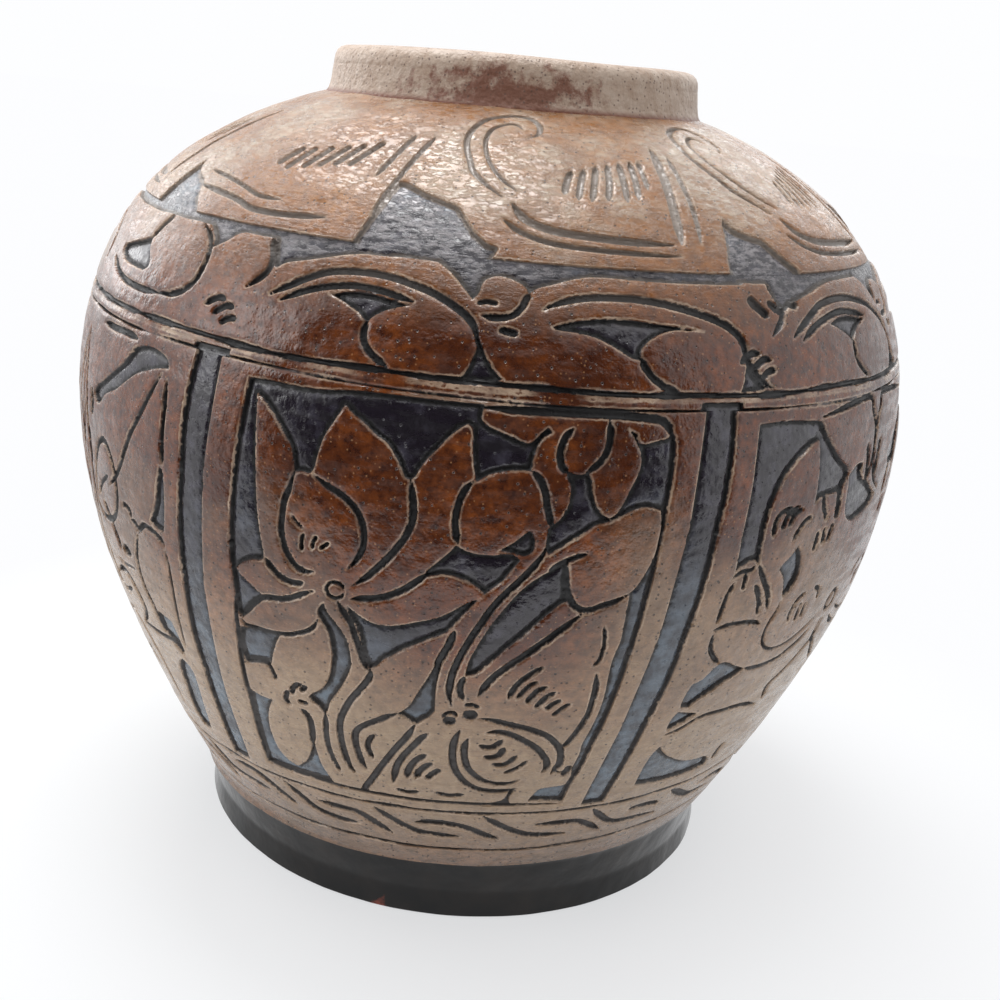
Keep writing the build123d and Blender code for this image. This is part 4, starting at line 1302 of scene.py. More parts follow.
@dataclass(frozen=True)
class TurnedRing:
    """A ring turned from a section, with the slight unevenness of a hand-thrown one, in millimetres.

    Its unevenness is laid out on a round of its own. The lip sways up and down over a height.
    """

    name: str
    nodes: tuple[str, ...]
    section: Profile
    slot: str = "rim_glaze"
    steps: int = 256
    uneven: float = 0.35
    layout: float = 80
    lumps: tuple[float, int] = (60, 11)
    dents: tuple[float, int] = (14, 12)
    dent_share: float = 0.3
    sway: float = 0.4
    sway_waves: tuple[float, int] = (90, 13)
    sway_over: float = 364
    merged: float = 0.00001
    crease: float = 50

    def build(self) -> Object:
        """Spin the section into a closed ring.

        Returns:
            The ring's object.
        """
        deselect()
        bpy.ops.mesh.primitive_plane_add(size=0.01)
        piece = bpy.context.active_object
        piece.name = self.name
        piece.data.name = self.name
        points = [(r * MM, 0, z * MM) for r, z in self.section]
        count = len(points)
        piece.data.clear_geometry()
        piece.data.from_pydata(points, [(k, (k + 1) % count) for k in range(count)], [])
        choose(piece)
        bpy.ops.object.mode_set(mode="EDIT")
        bpy.ops.mesh.select_all(action="SELECT")
        bpy.ops.mesh.spin(steps=self.steps, angle=2 * math.pi, center=(0, 0, 0), axis=(0, 0, 1),
                          dupli=False)
        bpy.ops.mesh.select_all(action="SELECT")
        bpy.ops.mesh.remove_doubles(threshold=self.merged)
        bpy.ops.mesh.normals_make_consistent(inside=False)
        bpy.ops.object.mode_set(mode="OBJECT")
        self.wear(piece.data)
        smooth(piece, self.crease)
        return piece

    def wear(self, mesh: bpy.types.Mesh) -> None:
        """Make the turned ring a little uneven, as thrown.

        Args:
            mesh: The ring's mesh, changed in place.
        """
        flat = np.zeros(len(mesh.vertices) * 3)
        mesh.vertices.foreach_get("co", flat)
        spots = flat.reshape(-1, 3)
        angle = np.arctan2(spots[:, 1], spots[:, 0])
        height = spots[:, 2] / MM
        x, y = np.cos(angle) * self.layout, np.sin(angle) * self.layout
        lump = (waver(x, y + height, *self.lumps) * self.uneven
                + waver(x, y + height * 2, *self.dents) * self.uneven * self.dent_share)
        spots[:, :2] *= (1 + lump[:, None] * MM / np.hypot(spots[:, 0], spots[:, 1])[:, None])
        spots[:, 2] += self.sway * MM * waver(x, y, *self.sway_waves) * (height > self.sway_over)
        mesh.vertices.foreach_set("co", spots.ravel())
        mesh.update()


@dataclass(frozen=True)
class Mouth:
    """The upright collar and its rolled lip, as sections of radius and height."""

    collar: Profile = (
        (70.3, 353.0), (87.0, 359.6), (89.3, 360.6), (89.0, 361.9), (88.0, 363.2), (87.3, 365.5),
        (86.8, 368.5), (86.4, 371.5), (86.1, 373.4), (85.95, 374.4), (84.6, 374.5), (70.3, 374.5))
    lip: Profile = (
        (69.9, 374.1), (85.8, 374.1), (85.9, 374.9), (85.7, 376.5), (85.3, 378.6), (84.3, 380.5),
        (82.6, 381.9), (80.2, 382.7), (76.4, 382.9), (72.8, 382.4), (70.7, 381.0), (69.8, 378.6))

    def pieces(self) -> list[TurnedRing]:
        """Both rings, each with the plain solid that it stands for."""
        return [TurnedRing("tan_collar", ("collar",), self.collar),
                TurnedRing("rolled_lip", ("rim_lip",), self.lip)]


class Graph:
    """Adds and joins the nodes of one shader tree."""

    noise_span: Pair = (0.3, 0.7)

    def __init__(self, tree: bpy.types.NodeTree) -> None:
        """Work on a tree."""
        self.tree = tree

    def add(self, kind: str, inputs: dict[Any, Any] | None = None, **settings: Any) -> bpy.types.Node:
        """Add a node, set it, and fill its inputs with numbers or with other nodes' outputs.

        Args:
            kind: The node's type.
            inputs: Number, colour or output for each input's name or place.
            settings: The node's own options.

        Returns:
            The node.
        """
        node = self.tree.nodes.new(kind)
        for title, value in settings.items():
            setattr(node, title, value)
        for title, value in (inputs or {}).items():
            if isinstance(value, Socket):
                self.tree.links.new(value, node.inputs[title])
            else:
                node.inputs[title].default_value = value
        return node

    def group(self, tree: bpy.types.NodeTree, place: Socket, **numbers: float) -> Any:
        """Outputs of a shared effect laid over the piece with its own numbers."""
        return self.add("ShaderNodeGroup", {"Vector": place, **numbers}, node_tree=tree).outputs

    def place(self) -> Socket:
        """The piece's own coordinates."""
        return self.add("ShaderNodeTexCoord").outputs["Object"]

    def height(self, place: Socket) -> Socket:
        """Height of a place over the floor, in metres."""
        return self.add("ShaderNodeSeparateXYZ", {0: place}).outputs[2]

    def vector(self, how: str, first: Socket, second: Place | None = None) -> bpy.types.Node:
        """Node for one sum on places."""
        inputs = {0: first} if second is None else {0: first, 1: second}
        return self.add("ShaderNodeVectorMath", inputs, operation=how)

    def noise(self, place: Socket, scale: Any, detail: float = 2.0, roughness: float = 0.5) -> Socket:
        """Cloudy noise at a scale."""
        inputs = {"Vector": place, "Scale": scale, "Detail": detail, "Roughness": roughness}
        return self.add("ShaderNodeTexNoise", inputs).outputs[0]

    def blend(self, share: Any, first: Any, second: Any) -> Socket:
        """Mix two colours by a share.

        Args:
            share: Share of the second colour.
            first: A colour, or its socket.
            second: The same for the other.

        Returns:
            Socket of the mixed colour.
        """
        first = (*first, 1) if isinstance(first, tuple) else first
        second = (*second, 1) if isinstance(second, tuple) else second
        return self.add("ShaderNodeMix", {0: share, 6: first, 7: second}, data_type="RGBA").outputs[2]

    def sums(self, how: str, first: Any, second: Any) -> Socket:
        """Result of one sum on two numbers."""
        return self.add("ShaderNodeMath", {0: first, 1: second}, operation=how).outputs[0]

    def times(self, first: Any, second: Any) -> Socket:
        """Product of two numbers."""
        return self.sums("MULTIPLY", first, second)

    def plus(self, first: Any, second: Any) -> Socket:
        """Sum of two numbers."""
        return self.sums("ADD", first, second)

    def rest(self, share: Socket) -> Socket:
        """What a share leaves of one."""
        return self.sums("SUBTRACT", 1.0, share)

    def spread(self, value: Any, low: Any, high: Any, start: float = 0, end: float = 1) -> Socket:
        """Value taken from one span to another, held at the ends."""
        return self.add("ShaderNodeMapRange", {0: value, 1: low, 2: high, 3: start, 4: end}).outputs[0]

    def ragged(self, value: Socket, noise: Socket, reach: float) -> Socket:
        """Value moved up or down by a noise."""
        return self.plus(value, self.spread(noise, *self.noise_span, -reach, reach))

    def seen(self) -> Socket:
        """One on rays from the camera, a mirror or glass, and none on others.

        Returns:
            Socket of the one or none.
        """
        path = self.add("ShaderNodeLightPath").outputs
        mirrored_too = self.sums("MAXIMUM", path["Is Glossy Ray"], path["Is Transmission Ray"])
        return self.sums("MAXIMUM", path["Is Camera Ray"], mirrored_too)


Inputs = dict[str, Socket]
CLOUD_DETAIL = (5.0, 0.62)
SPECK_CORE = 0.6


def effect(title: str, takes: dict[str, float | None], gives: tuple[str, ...],
           fill: Callable[[Graph, Inputs], Inputs]) -> bpy.types.NodeTree:
    """A shader node group, made once and shared.

    Args:
        title: The group's name.
        takes: Its inputs: a plain number's default, or None for a vector.
        gives: Names of its outputs, each a number.
        fill: Adds the nodes and returns the output for each name.

    Returns:
        The group.
    """
    if title in bpy.data.node_groups:
        return bpy.data.node_groups[title]
    tree = bpy.data.node_groups.new(title, "ShaderNodeTree")
    for name, value in takes.items():
        kind = "NodeSocketVector" if value is None else "NodeSocketFloat"
        socket = tree.interface.new_socket(name, in_out="INPUT", socket_type=kind)
        if value is not None:
            socket.default_value = value
    for name in gives:
        tree.interface.new_socket(name, in_out="OUTPUT", socket_type="NodeSocketFloat")
    start = tree.nodes.new("NodeGroupInput")
    end = tree.nodes.new("NodeGroupOutput")
    made = fill(Graph(tree), {name: start.outputs[name] for name in takes})
    for name, socket in made.items():
        tree.links.new(socket, end.inputs[name])
    return tree


@dataclass(frozen=True)
class Cloud:
    """A cloudy mask: its scale, and the levels of noise where it starts and is full."""

    scale: float
    low: float
    high: float

    @staticmethod
    def fill(g: Graph, at: Inputs) -> Inputs:
        """The group's nodes: a noise between two levels."""
        noise = g.noise(at["Vector"], at["Scale"], *CLOUD_DETAIL)
        return {"Mask": g.spread(noise, at["Low"], at["High"])}

    def over(self, g: Graph, place: Socket) -> Socket:
        """The mask over a piece.

        Args:
            g: The material's graph.
            place: Place on the piece.

        Returns:
            Socket of the mask.
        """
        takes = {"Vector": None, "Scale": 10.0, "Low": 0.4, "High": 0.6}
        tree = effect("Mottle", takes, ("Mask",), self.fill)
        return g.group(tree, place, Scale=self.scale, Low=self.low, High=self.high)[0]


@dataclass(frozen=True)
class Specks:
    """Scattered round specks: the scale of their cells, their size, and the share of cells with one."""

    scale: float
    size: float
    share: float

    @staticmethod
    def fill(g: Graph, at: Inputs) -> Inputs:
        """The group's nodes: soft dots in cells, some of them left out.

        Args:
            g: The group's graph.
            at: The group's inputs, by name.

        Returns:
            The group's outputs, by name.
        """
        cells = g.add("ShaderNodeTexVoronoi", {"Vector": at["Vector"], "Scale": at["Scale"]}).outputs
        dot = g.spread(cells["Distance"], at["Size"], g.times(at["Size"], SPECK_CORE))
        pick = g.add("ShaderNodeSeparateColor", {0: cells["Color"]}).outputs[0]
        return {"Mask": g.times(dot, g.sums("LESS_THAN", pick, at["Share"]))}

    def over(self, g: Graph, place: Socket) -> Socket:
        """The mask over a piece.

        Args:
            g: The material's graph.
            place: Place on the piece.

        Returns:
            Socket of the mask.
        """
        takes = {"Vector": None, "Scale": 300.0, "Size": 0.3, "Share": 0.5}
        tree = effect("Specks", takes, ("Mask",), self.fill)
        return g.group(tree, place, Scale=self.scale, Size=self.size, Share=self.share)[0]


@dataclass(frozen=True)
class FilmAndPaintedReflection:
    """Share of a tan cover on the glaze by height in metres, partly dull film and partly painted
    reflection: all over the lower wall, and in patches on the crown as painted sheen.

    Noises are a scale and a detail. A span is two values, and the two that they become.
    """

    drift: Span = (9, 3)
    drift_reach: float = 0.045
    low: Span = (0.205, 0.125)
    over_foot: Span = (0.03, 0.075, 0.45, 1)
    high: Span = (0.3, 0.335)
    patches: Span = (24, 4)
    patch_levels: Span = (0.45, 0.6, 0.08, 0.92)

    def fill(self, g: Graph, at: Inputs) -> Inputs:
        """The group's nodes: the greater of the painted reflection and film low down and the painted
        sheen on the crown.

        Args:
            g: The group's graph.
            at: The group's inputs, by name.

        Returns:
            The group's outputs, by name.
        """
        height = g.height(at["Vector"])
        moved = g.ragged(height, g.noise(at["Vector"], *self.drift), self.drift_reach)
        # Low down: painted reflection of the floor, partly a dull film. On the crown: patches of painted
        # sheen.
        low = g.times(g.spread(moved, *self.low), g.spread(height, *self.over_foot))
        patches = g.spread(g.noise(at["Vector"], *self.patches), *self.patch_levels)
        return {"Film": g.sums("MAXIMUM", low, g.times(g.spread(moved, *self.high), patches))}

    def over(self, g: Graph, place: Socket) -> Socket:
        """The share of film and painted reflection over a piece."""
        return g.group(effect("Dull Film and Painted Reflection", {"Vector": None}, ("Film",), self.fill), place)[0]


@dataclass(frozen=True)
class CarvingMarks:
    """Where the pale rim, the groove and the sunk ground lie, by the piece's distances in millimetres."""

    torn: Span = (420, 3)
    rim_torn: float = 0.35
    rim_inside: Span = (-0.3, -0.05)
    rim_outside: Span = (0.75, 0.15)
    wear_and_reflection: Span = (60, 4)
    breakup_levels: Span = (0.38, 0.66)
    groove: Span = (-0.05, -0.35)
    ground_torn: float = 0.5
    # The sunk ground's colour begins this far into it. Nearer the carved wall lies the groove's black,
    # painted shade in the trench.
    ground: Span = (1.6, 2.4)

    def fill(self, g: Graph, at: Inputs) -> Inputs:
        """The group's nodes: three masks from the distances to the rim and into the ground.

        Args:
            g: The group's graph.
            at: The group's inputs, by name.

        Returns:
            The group's outputs, by name.
        """
        edge, ground = (g.add("ShaderNodeAttribute", attribute_name=title).outputs["Fac"]
                        for title in ("edge", "ground"))
        torn = g.noise(at["Vector"], *self.torn)
        near = g.ragged(edge, torn, self.rim_torn)
        rim = g.times(g.spread(near, *self.rim_inside), g.spread(near, *self.rim_outside))
        wear_and_reflection = g.spread(g.noise(at["Vector"], *self.wear_and_reflection), *self.breakup_levels)
        return {"Rim": g.times(rim, wear_and_reflection), "Groove": g.spread(edge, *self.groove),
                "Ground": g.spread(g.ragged(ground, torn, self.ground_torn), *self.ground)}

    def over(self, g: Graph, place: Socket) -> Inputs:
        """The masks over a piece, by name.

        Args:
            g: The material's graph.
            place: Place on the piece.

        Returns:
            Sockets of the masks.
        """
        gives = ("Rim", "Groove", "Ground")
        outputs = g.group(effect("Carving Marks", {"Vector": None}, gives, self.fill), place)
        return {name: outputs[name] for name in gives}


@dataclass(frozen=True)
class Finish:
    """A material's name and the parts that every finish shares.

    In finishes, noises are a scale, a detail and a roughness. A span is two values, and the two that
    they become where these aren't 0 and 1. The bump's depth is in metres.
    """

    name: str
    roughness: float = 0.4
    ior: float = 1.5
    bump: Pair = (0.001, 1)

    def start(self) -> tuple[Material, Graph, bpy.types.Node, Socket]:
        """Begin the material.

        Returns:
            The material, its graph and shader, and the piece's own coordinates.
        """
        material = bpy.data.materials.new(self.name)
        material.use_nodes = True
        graph = Graph(material.node_tree)
        shader = material.node_tree.nodes["Principled BSDF"]
        shader.inputs["Roughness"].default_value = self.roughness
        shader.inputs["IOR"].default_value = self.ior
        return material, graph, shader, graph.place()

    def make(self) -> Material:
        """The finish as a material, which each finish makes in its own way."""
        raise NotImplementedError

    def dress(self, graph: Graph, shader: bpy.types.Node, colour: Socket, height: Socket) -> None:
        """Give the shader its colour and its fine grain.

        Args:
            graph: The material's graph.
            shader: Its shader.
            colour: Colour over the surface.
            height: Height of the grain, as a share of the bump's depth.
        """
        depth, strength = self.bump
        graph.tree.links.new(colour, shader.inputs["Base Color"])
        inputs = {"Strength": strength, "Distance": depth, "Height": height}
        bump = graph.add("ShaderNodeBump", inputs)
        graph.tree.links.new(bump.outputs[0], shader.inputs["Normal"])


@dataclass(frozen=True)
class CarvedGlaze(Finish):
    """Iron-brown glaze, cut through to a black ground, with pale rims along the cuts.

    Its colour, gloss and grain share the masks that make() lays over the piece.
    """

    ior: float = 1.72
    bump: Pair = (0.001, 0.75)
    deep: Colour = (0.05, 0.0105, 0.0035)
    rust: Colour = (0.27, 0.066, 0.008)
    # Next two colours: a tan that is partly dull film and partly painted reflection of the floor, and a
    # pale painted sheen of the overhead light on the crown.
    film_and_reflection: Colour = (0.38, 0.265, 0.165)
    crown_film_and_sheen: Colour = (0.51, 0.425, 0.325)
    amber: Colour = (0.33, 0.125, 0.01)
    # Pale violet-grey painted sheen of the overhead light on the sunk ground of the crown.
    broken_sheen: Colour = (0.34, 0.31, 0.32)
    fleck: Colour = (0.42, 0.21, 0.09)
    pit: Colour = (0.012, 0.005, 0.004)
    cream: Colour = (0.47, 0.335, 0.235)
    # Black of the glaze in the cut lines. Along the foot of each carved wall it also stands for painted
    # shade in the trench.
    black: Colour = (0.004, 0.003, 0.004)
    ground: Colour = (0.014, 0.01, 0.017)
    scratch: Colour = (0.055, 0.05, 0.07)
    # Grey-blue painted reflection of the floor on the sunk ground low down.
    ground_reflection: Colour = (0.115, 0.15, 0.19)
    # Dark grey painted reflection in the grooves low down, and a pale painted sheen over the glaze-filled
    # grooves of the crown.
    groove_reflection: Colour = (0.045, 0.034, 0.03)
    filled_groove_sheen: Colour = (0.27, 0.215, 0.175)
    groove_roughness: float = 0.55
    grain: Cloud = Cloud(260, 0.34, 0.7)
    patches: Cloud = Cloud(26, 0.36, 0.66)
    pits: Specks = Specks(430, 0.26, 0.3)
    flecks: Specks = Specks(620, 0.27, 0.22)
    rust_patches: Span = (0, 1, 0.22, 0.95)
    crown_height: Span = (0.285, 0.325)
    throwing: Place = (1, 1, 3.5)
    # Noise and levels of the patches of broken painted sheen on the crown, which also raise the bump
    # there.
    broken_sheen_noise: Span = (190, 6, 0.7)
    broken_sheen_levels: Span = (0.46, 0.58)
    amber_rust: Span = (0, 0.8, 0.45, 1)
    film_and_reflection_grain: Span = (0, 1, 0.6, 1)
    film_sheen_gaps: Span = (0, 1, 0.6, 0)
    fleck_share: float = 0.55
    pit_share: float = 0.75
    groove_reflection_share: float = 0.7
    filled_height: Span = (0.295, 0.325, 0, 0.92)
    scratch_noise: Span = (150, 4)
    scratch_levels: Span = (0.48, 0.68, 0, 0.75)
    breakup_levels: Span = (0.38, 0.62, 0.25, 0.95)
    ground_sheen_share: float = 0.75
    streak_noise: Span = (75, 4)
    streak_roughness: Span = (0.44, 0.6, 0, 0.16)
    streak_rise: float = 0.2
    fine_noise: Span = (850, 3)
    fine_rise: float = 0.22
    ripple_noise: Span = (240, 2)
    ripple_rise: float = 0.45
    lump_noise: Span = (80, 2)
    broken_sheen_rise: float = 0.25
    pit_depth: float = 0.35

    def make(self) -> Material:
        """The glaze over the raised parts and the cuts.

        Returns:
            The material.
        """
        material, g, shader, place = self.start()
        thrown = g.add("ShaderNodeMapping", {"Vector": place, "Scale": self.throwing}).outputs[0]
        height = g.height(place)
        masks = {"crown": g.spread(height, *self.crown_height),
                 "filled": g.spread(height, *self.filled_height),
                 # Patches of broken painted sheen on the crown.
                 "broken_sheen": g.spread(g.noise(thrown, *self.broken_sheen_noise), *self.broken_sheen_levels),
                 "film_and_reflection": FilmAndPaintedReflection().over(g, place), "pits": self.pits.over(g, place),
                 **CarvingMarks().over(g, place)}
        streaks = g.noise(thrown, *self.streak_noise)
        colour = g.blend(masks["Groove"], self.raised_colour(g, place, masks),
                         self.groove_colour(g, masks))
        colour = g.blend(masks["Ground"], colour, self.ground_colour(g, place, masks))
        colour = g.blend(masks["Rim"], colour, self.cream)
        g.tree.links.new(self.dullness(g, streaks, masks), shader.inputs["Roughness"])
        self.dress(g, shader, colour, self.surface(g, place, streaks, masks))
        return material

    def raised_colour(self, g: Graph, place: Socket, masks: Inputs) -> Socket:
        """Colour of the parts left standing: mottled brown under a tan cover that is partly dull film and
        partly painted reflection, pale painted sheen on the crown, flecks and pinholes.

        Args:
            g: The material's graph.
            place: Place on the piece.
            masks: Sockets of the masks, by name.

        Returns:
            Socket of the colour.
        """
        crown = masks["crown"]
        grain = self.grain.over(g, place)
        rust = g.times(grain, g.spread(self.patches.over(g, place), *self.rust_patches))
        glaze = g.blend(rust, self.deep, self.rust)
        glaze = g.blend(g.times(crown, g.spread(rust, *self.amber_rust)), glaze, self.amber)
        # Share of the painted reflection and film, broken by the grain and, on the crown, by the painted
        # sheen's patches.
        tan = g.times(masks["film_and_reflection"], g.spread(grain, *self.film_and_reflection_grain))
        tan = g.times(tan, g.rest(g.times(crown, g.spread(masks["broken_sheen"], *self.film_sheen_gaps))))
        glaze = g.blend(tan, glaze, g.blend(crown, self.film_and_reflection, self.crown_film_and_sheen))
        glaze = g.blend(g.times(self.flecks.over(g, place), self.fleck_share), glaze, self.fleck)
        return g.blend(g.times(masks["pits"], self.pit_share), glaze, self.pit)

    def groove_colour(self, g: Graph, masks: Inputs) -> Socket:
        """Colour of the grooves: black, painted reflection under the tan cover, and filled with glaze
        under a painted pale sheen on the crown.
        """
        groove = g.blend(g.times(masks["film_and_reflection"], self.groove_reflection_share), self.black, self.groove_reflection)
        return g.blend(masks["filled"], groove, self.filled_groove_sheen)

    def ground_colour(self, g: Graph, place: Socket, masks: Inputs) -> Socket:
        """Colour of the sunk ground: black with scratches, painted grey-blue reflection where the tan
        cover lies, and painted pale sheen on the crown.

        Args:
            g: The material's graph.
            place: Place on the piece.
            masks: Sockets of the masks, by name.

        Returns:
            Socket of the colour.
        """
        scratched = g.noise(place, *self.scratch_noise)
        floor = g.blend(g.spread(scratched, *self.scratch_levels), self.ground, self.scratch)
        # Painted reflection of the floor on the ground where the tan cover lies, broken by the scratches.
        wear_and_reflection = g.times(masks["film_and_reflection"], g.spread(scratched, *self.breakup_levels))
        floor = g.blend(wear_and_reflection, floor, self.ground_reflection)
        # Painted sheen of the overhead light over the crown's sunk ground.
        sheen_share = g.times(g.times(masks["crown"], masks["broken_sheen"]), self.ground_sheen_share)
        return g.blend(sheen_share, floor, self.broken_sheen)

    def dullness(self, g: Graph, streaks: Socket, masks: Inputs) -> Socket:
        """Roughness: dull in the open grooves, and a little more so along the throwing streaks.

        Args:
            g: The material's graph.
            streaks: Noise along the throwing.
            masks: Sockets of the masks, by name.

        Returns:
            Socket of the roughness.
        """
        dull = g.times(masks["Groove"], g.rest(masks["Ground"]))
        dull = g.times(dull, g.rest(masks["filled"]))
        rough = g.spread(dull, 0, 1, self.roughness, self.groove_roughness)
        return g.plus(rough, g.spread(streaks, *self.streak_roughness))

    def surface(self, g: Graph, place: Socket, streaks: Socket, masks: Inputs) -> Socket:
        """Height of the glaze's fine grain, its ripples, lumps and streaks, less its pinholes.

        Args:
            g: The material's graph.
            place: Place on the piece.
            streaks: Noise along the throwing.
            masks: Sockets of the masks, by name.

        Returns:
            Socket of the height.
        """
        raised = g.plus(g.times(g.noise(place, *self.fine_noise), self.fine_rise),
                        g.times(g.noise(place, *self.ripple_noise), self.ripple_rise))
        raised = g.plus(raised, g.noise(place, *self.lump_noise))
        raised = g.plus(raised, g.times(streaks, self.streak_rise))
        raised = g.plus(raised, g.times(g.times(masks["broken_sheen"], masks["crown"]), self.broken_sheen_rise))
        return g.sums("SUBTRACT", raised, g.times(masks["pits"], self.pit_depth))


@dataclass(frozen=True)
class FootGlaze(Finish):
    """Black glaze on the foot, thin and red where it was wiped."""

    ior: float = 1.42
    bump: Pair = (0.001, 0.35)
    black: Colour = (0.002, 0.0019, 0.0022)
    brown: Colour = (0.014, 0.01, 0.008)
    bare: Colour = (0.24, 0.055, 0.035)
    cloud: Cloud = Cloud(45, 0.42, 0.7)
    bare_place: Place = (-0.017, -0.133, 0.001)
    bare_reach: Span = (0.0045, 0.0015)
    bare_noise: Span = (160, 3)
    bare_ragged: float = 0.004
    fine_noise: Span = (130, 2)

    def make(self) -> Material:
        """The foot's glaze with one small bare spot.

        Returns:
            The material.
        """
        material, g, shader, place = self.start()
        colour = g.blend(self.cloud.over(g, place), self.black, self.brown)
        away = g.vector("DISTANCE", place, self.bare_place).outputs["Value"]
        away = g.ragged(away, g.noise(place, *self.bare_noise), self.bare_ragged)
        colour = g.blend(g.spread(away, *self.bare_reach), colour, self.bare)
        self.dress(g, shader, colour, g.noise(place, *self.fine_noise))
        return material


@dataclass(frozen=True)
class CollarGlaze(Finish):
    """Thin matt tan glaze with reddish specks, brown at the neck and in one patch."""

    bump: Pair = (0.0013, 0.8)
    tan: Colour = (0.41, 0.295, 0.22)
    pale: Colour = (0.52, 0.41, 0.33)
    rust: Colour = (0.17, 0.05, 0.024)
    pit: Colour = (0.1, 0.06, 0.045)
    grain: Cloud = Cloud(120, 0.38, 0.64)
    dots: Specks = Specks(650, 0.36, 0.3)
    dot_share: float = 0.7
    patch_place: Place = (0.005, -0.088, 0.366)
    patch_stretch: Place = (1, 1, 3.2)
    patch_reach: Span = (0.042, 0.02)
    patch_noise: Span = (150, 6, 0.7)
    patch_ragged: float = 0.026
    patch_share: float = 0.85
    neck_height: Span = (0.3645, 0.362)
    fine_noise: Span = (420, 4)

    def make(self) -> Material:
        """The collar's speckled glaze.

        Returns:
            The material.
        """
        material, g, shader, place = self.start()
        colour = g.blend(self.grain.over(g, place), self.tan, self.pale)
        apart = g.vector("SUBTRACT", place, self.patch_place).outputs[0]
        apart = g.vector("MULTIPLY", apart, self.patch_stretch).outputs[0]
        away = g.vector("LENGTH", apart).outputs["Value"]
        away = g.ragged(away, g.noise(place, *self.patch_noise), self.patch_ragged)
        patch = g.times(g.spread(away, *self.patch_reach), self.patch_share)
        low = g.spread(g.height(place), *self.neck_height)
        colour = g.blend(g.sums("MAXIMUM", patch, low), colour, self.rust)
        colour = g.blend(g.times(self.dots.over(g, place), self.dot_share), colour, self.pit)
        self.dress(g, shader, colour, g.noise(place, *self.fine_noise))
        return material


@dataclass(frozen=True)
class BareClay(Finish):
    """Fired stoneware body or joining slip, seen inside the jar and under its foot."""

    bump: Pair = (0.0008, 0.7)
    body: Colour = (0.22, 0.12, 0.075)
    dark: Colour = (0.11, 0.055, 0.035)
    cloud: Cloud = Cloud(30, 0.35, 0.7)
    grit: Specks = Specks(400, 0.35, 0.3)
    grit_share: float = 0.5
    fine_noise: Span = (500, 3)

    def make(self) -> Material:
        """Clay with faint clouding and grit.

        Returns:
            The material.
        """
        material, g, shader, place = self.start()
        colour = g.blend(self.cloud.over(g, place), self.body, self.dark)
        colour = g.blend(g.times(self.grit.over(g, place), self.grit_share), colour, self.dark)
        self.dress(g, shader, colour, g.noise(place, *self.fine_noise))
        return material


@dataclass(frozen=True)
class Eye:
    """The camera, set as the photo was taken: millimetres, and radians but for the turn in degrees."""

    place: Place = (60.8, -631.4, 371.3)
    pitch: float = 0.3253
    yaw: float = -0.0124
    roll: float = -0.0842
    turn: float = 5.5
    lens: float = 45.47
    shift: Pair = (0.0375, 0.0076)
    clip_start: float = 0.01

    def build(self) -> None:
        """Add the camera and make it the scene's."""
        ahead = Vector((math.sin(self.yaw) * math.cos(self.pitch),
                        math.cos(self.yaw) * math.cos(self.pitch), -math.sin(self.pitch)))
        level = Vector((math.cos(self.yaw), -math.sin(self.yaw), 0))
        down = ahead.cross(level)
        right = level * math.cos(self.roll) + down * math.sin(self.roll)
        down = down * math.cos(self.roll) - level * math.sin(self.roll)
        axes = Matrix((right, -down, -ahead)).transposed()
        turned = Matrix.Rotation(math.radians(self.turn), 3, "Z") @ axes
        deselect()
        bpy.ops.object.camera_add()
        camera = bpy.context.active_object
        camera.matrix_world = Matrix.Translation(Vector(self.place) * MM) @ turned.to_4x4()
        camera.data.lens = self.lens
        camera.data.shift_x, camera.data.shift_y = self.shift
        camera.data.clip_start = self.clip_start
        bpy.context.scene.camera = camera


@dataclass(frozen=True)
class SoftLamp:
    """One soft lamp turned to the jar, in metres and watts."""

    name: str
    place: Place
    width: float
    depth: float
    power: float
    aim: Place = (0, 0, 0.2)

    def build(self) -> None:
        """Add the lamp."""
        deselect()
        bpy.ops.object.light_add(type="AREA", location=self.place)
        lamp = bpy.context.active_object
        lamp.name = self.name
        lamp.data.shape = "ELLIPSE"
        lamp.data.size, lamp.data.size_y = self.width, self.depth
        lamp.data.energy = self.power
        away = Vector(self.aim) - Vector(self.place)
        lamp.rotation_euler = away.to_track_quat("-Z", "Y").to_euler()


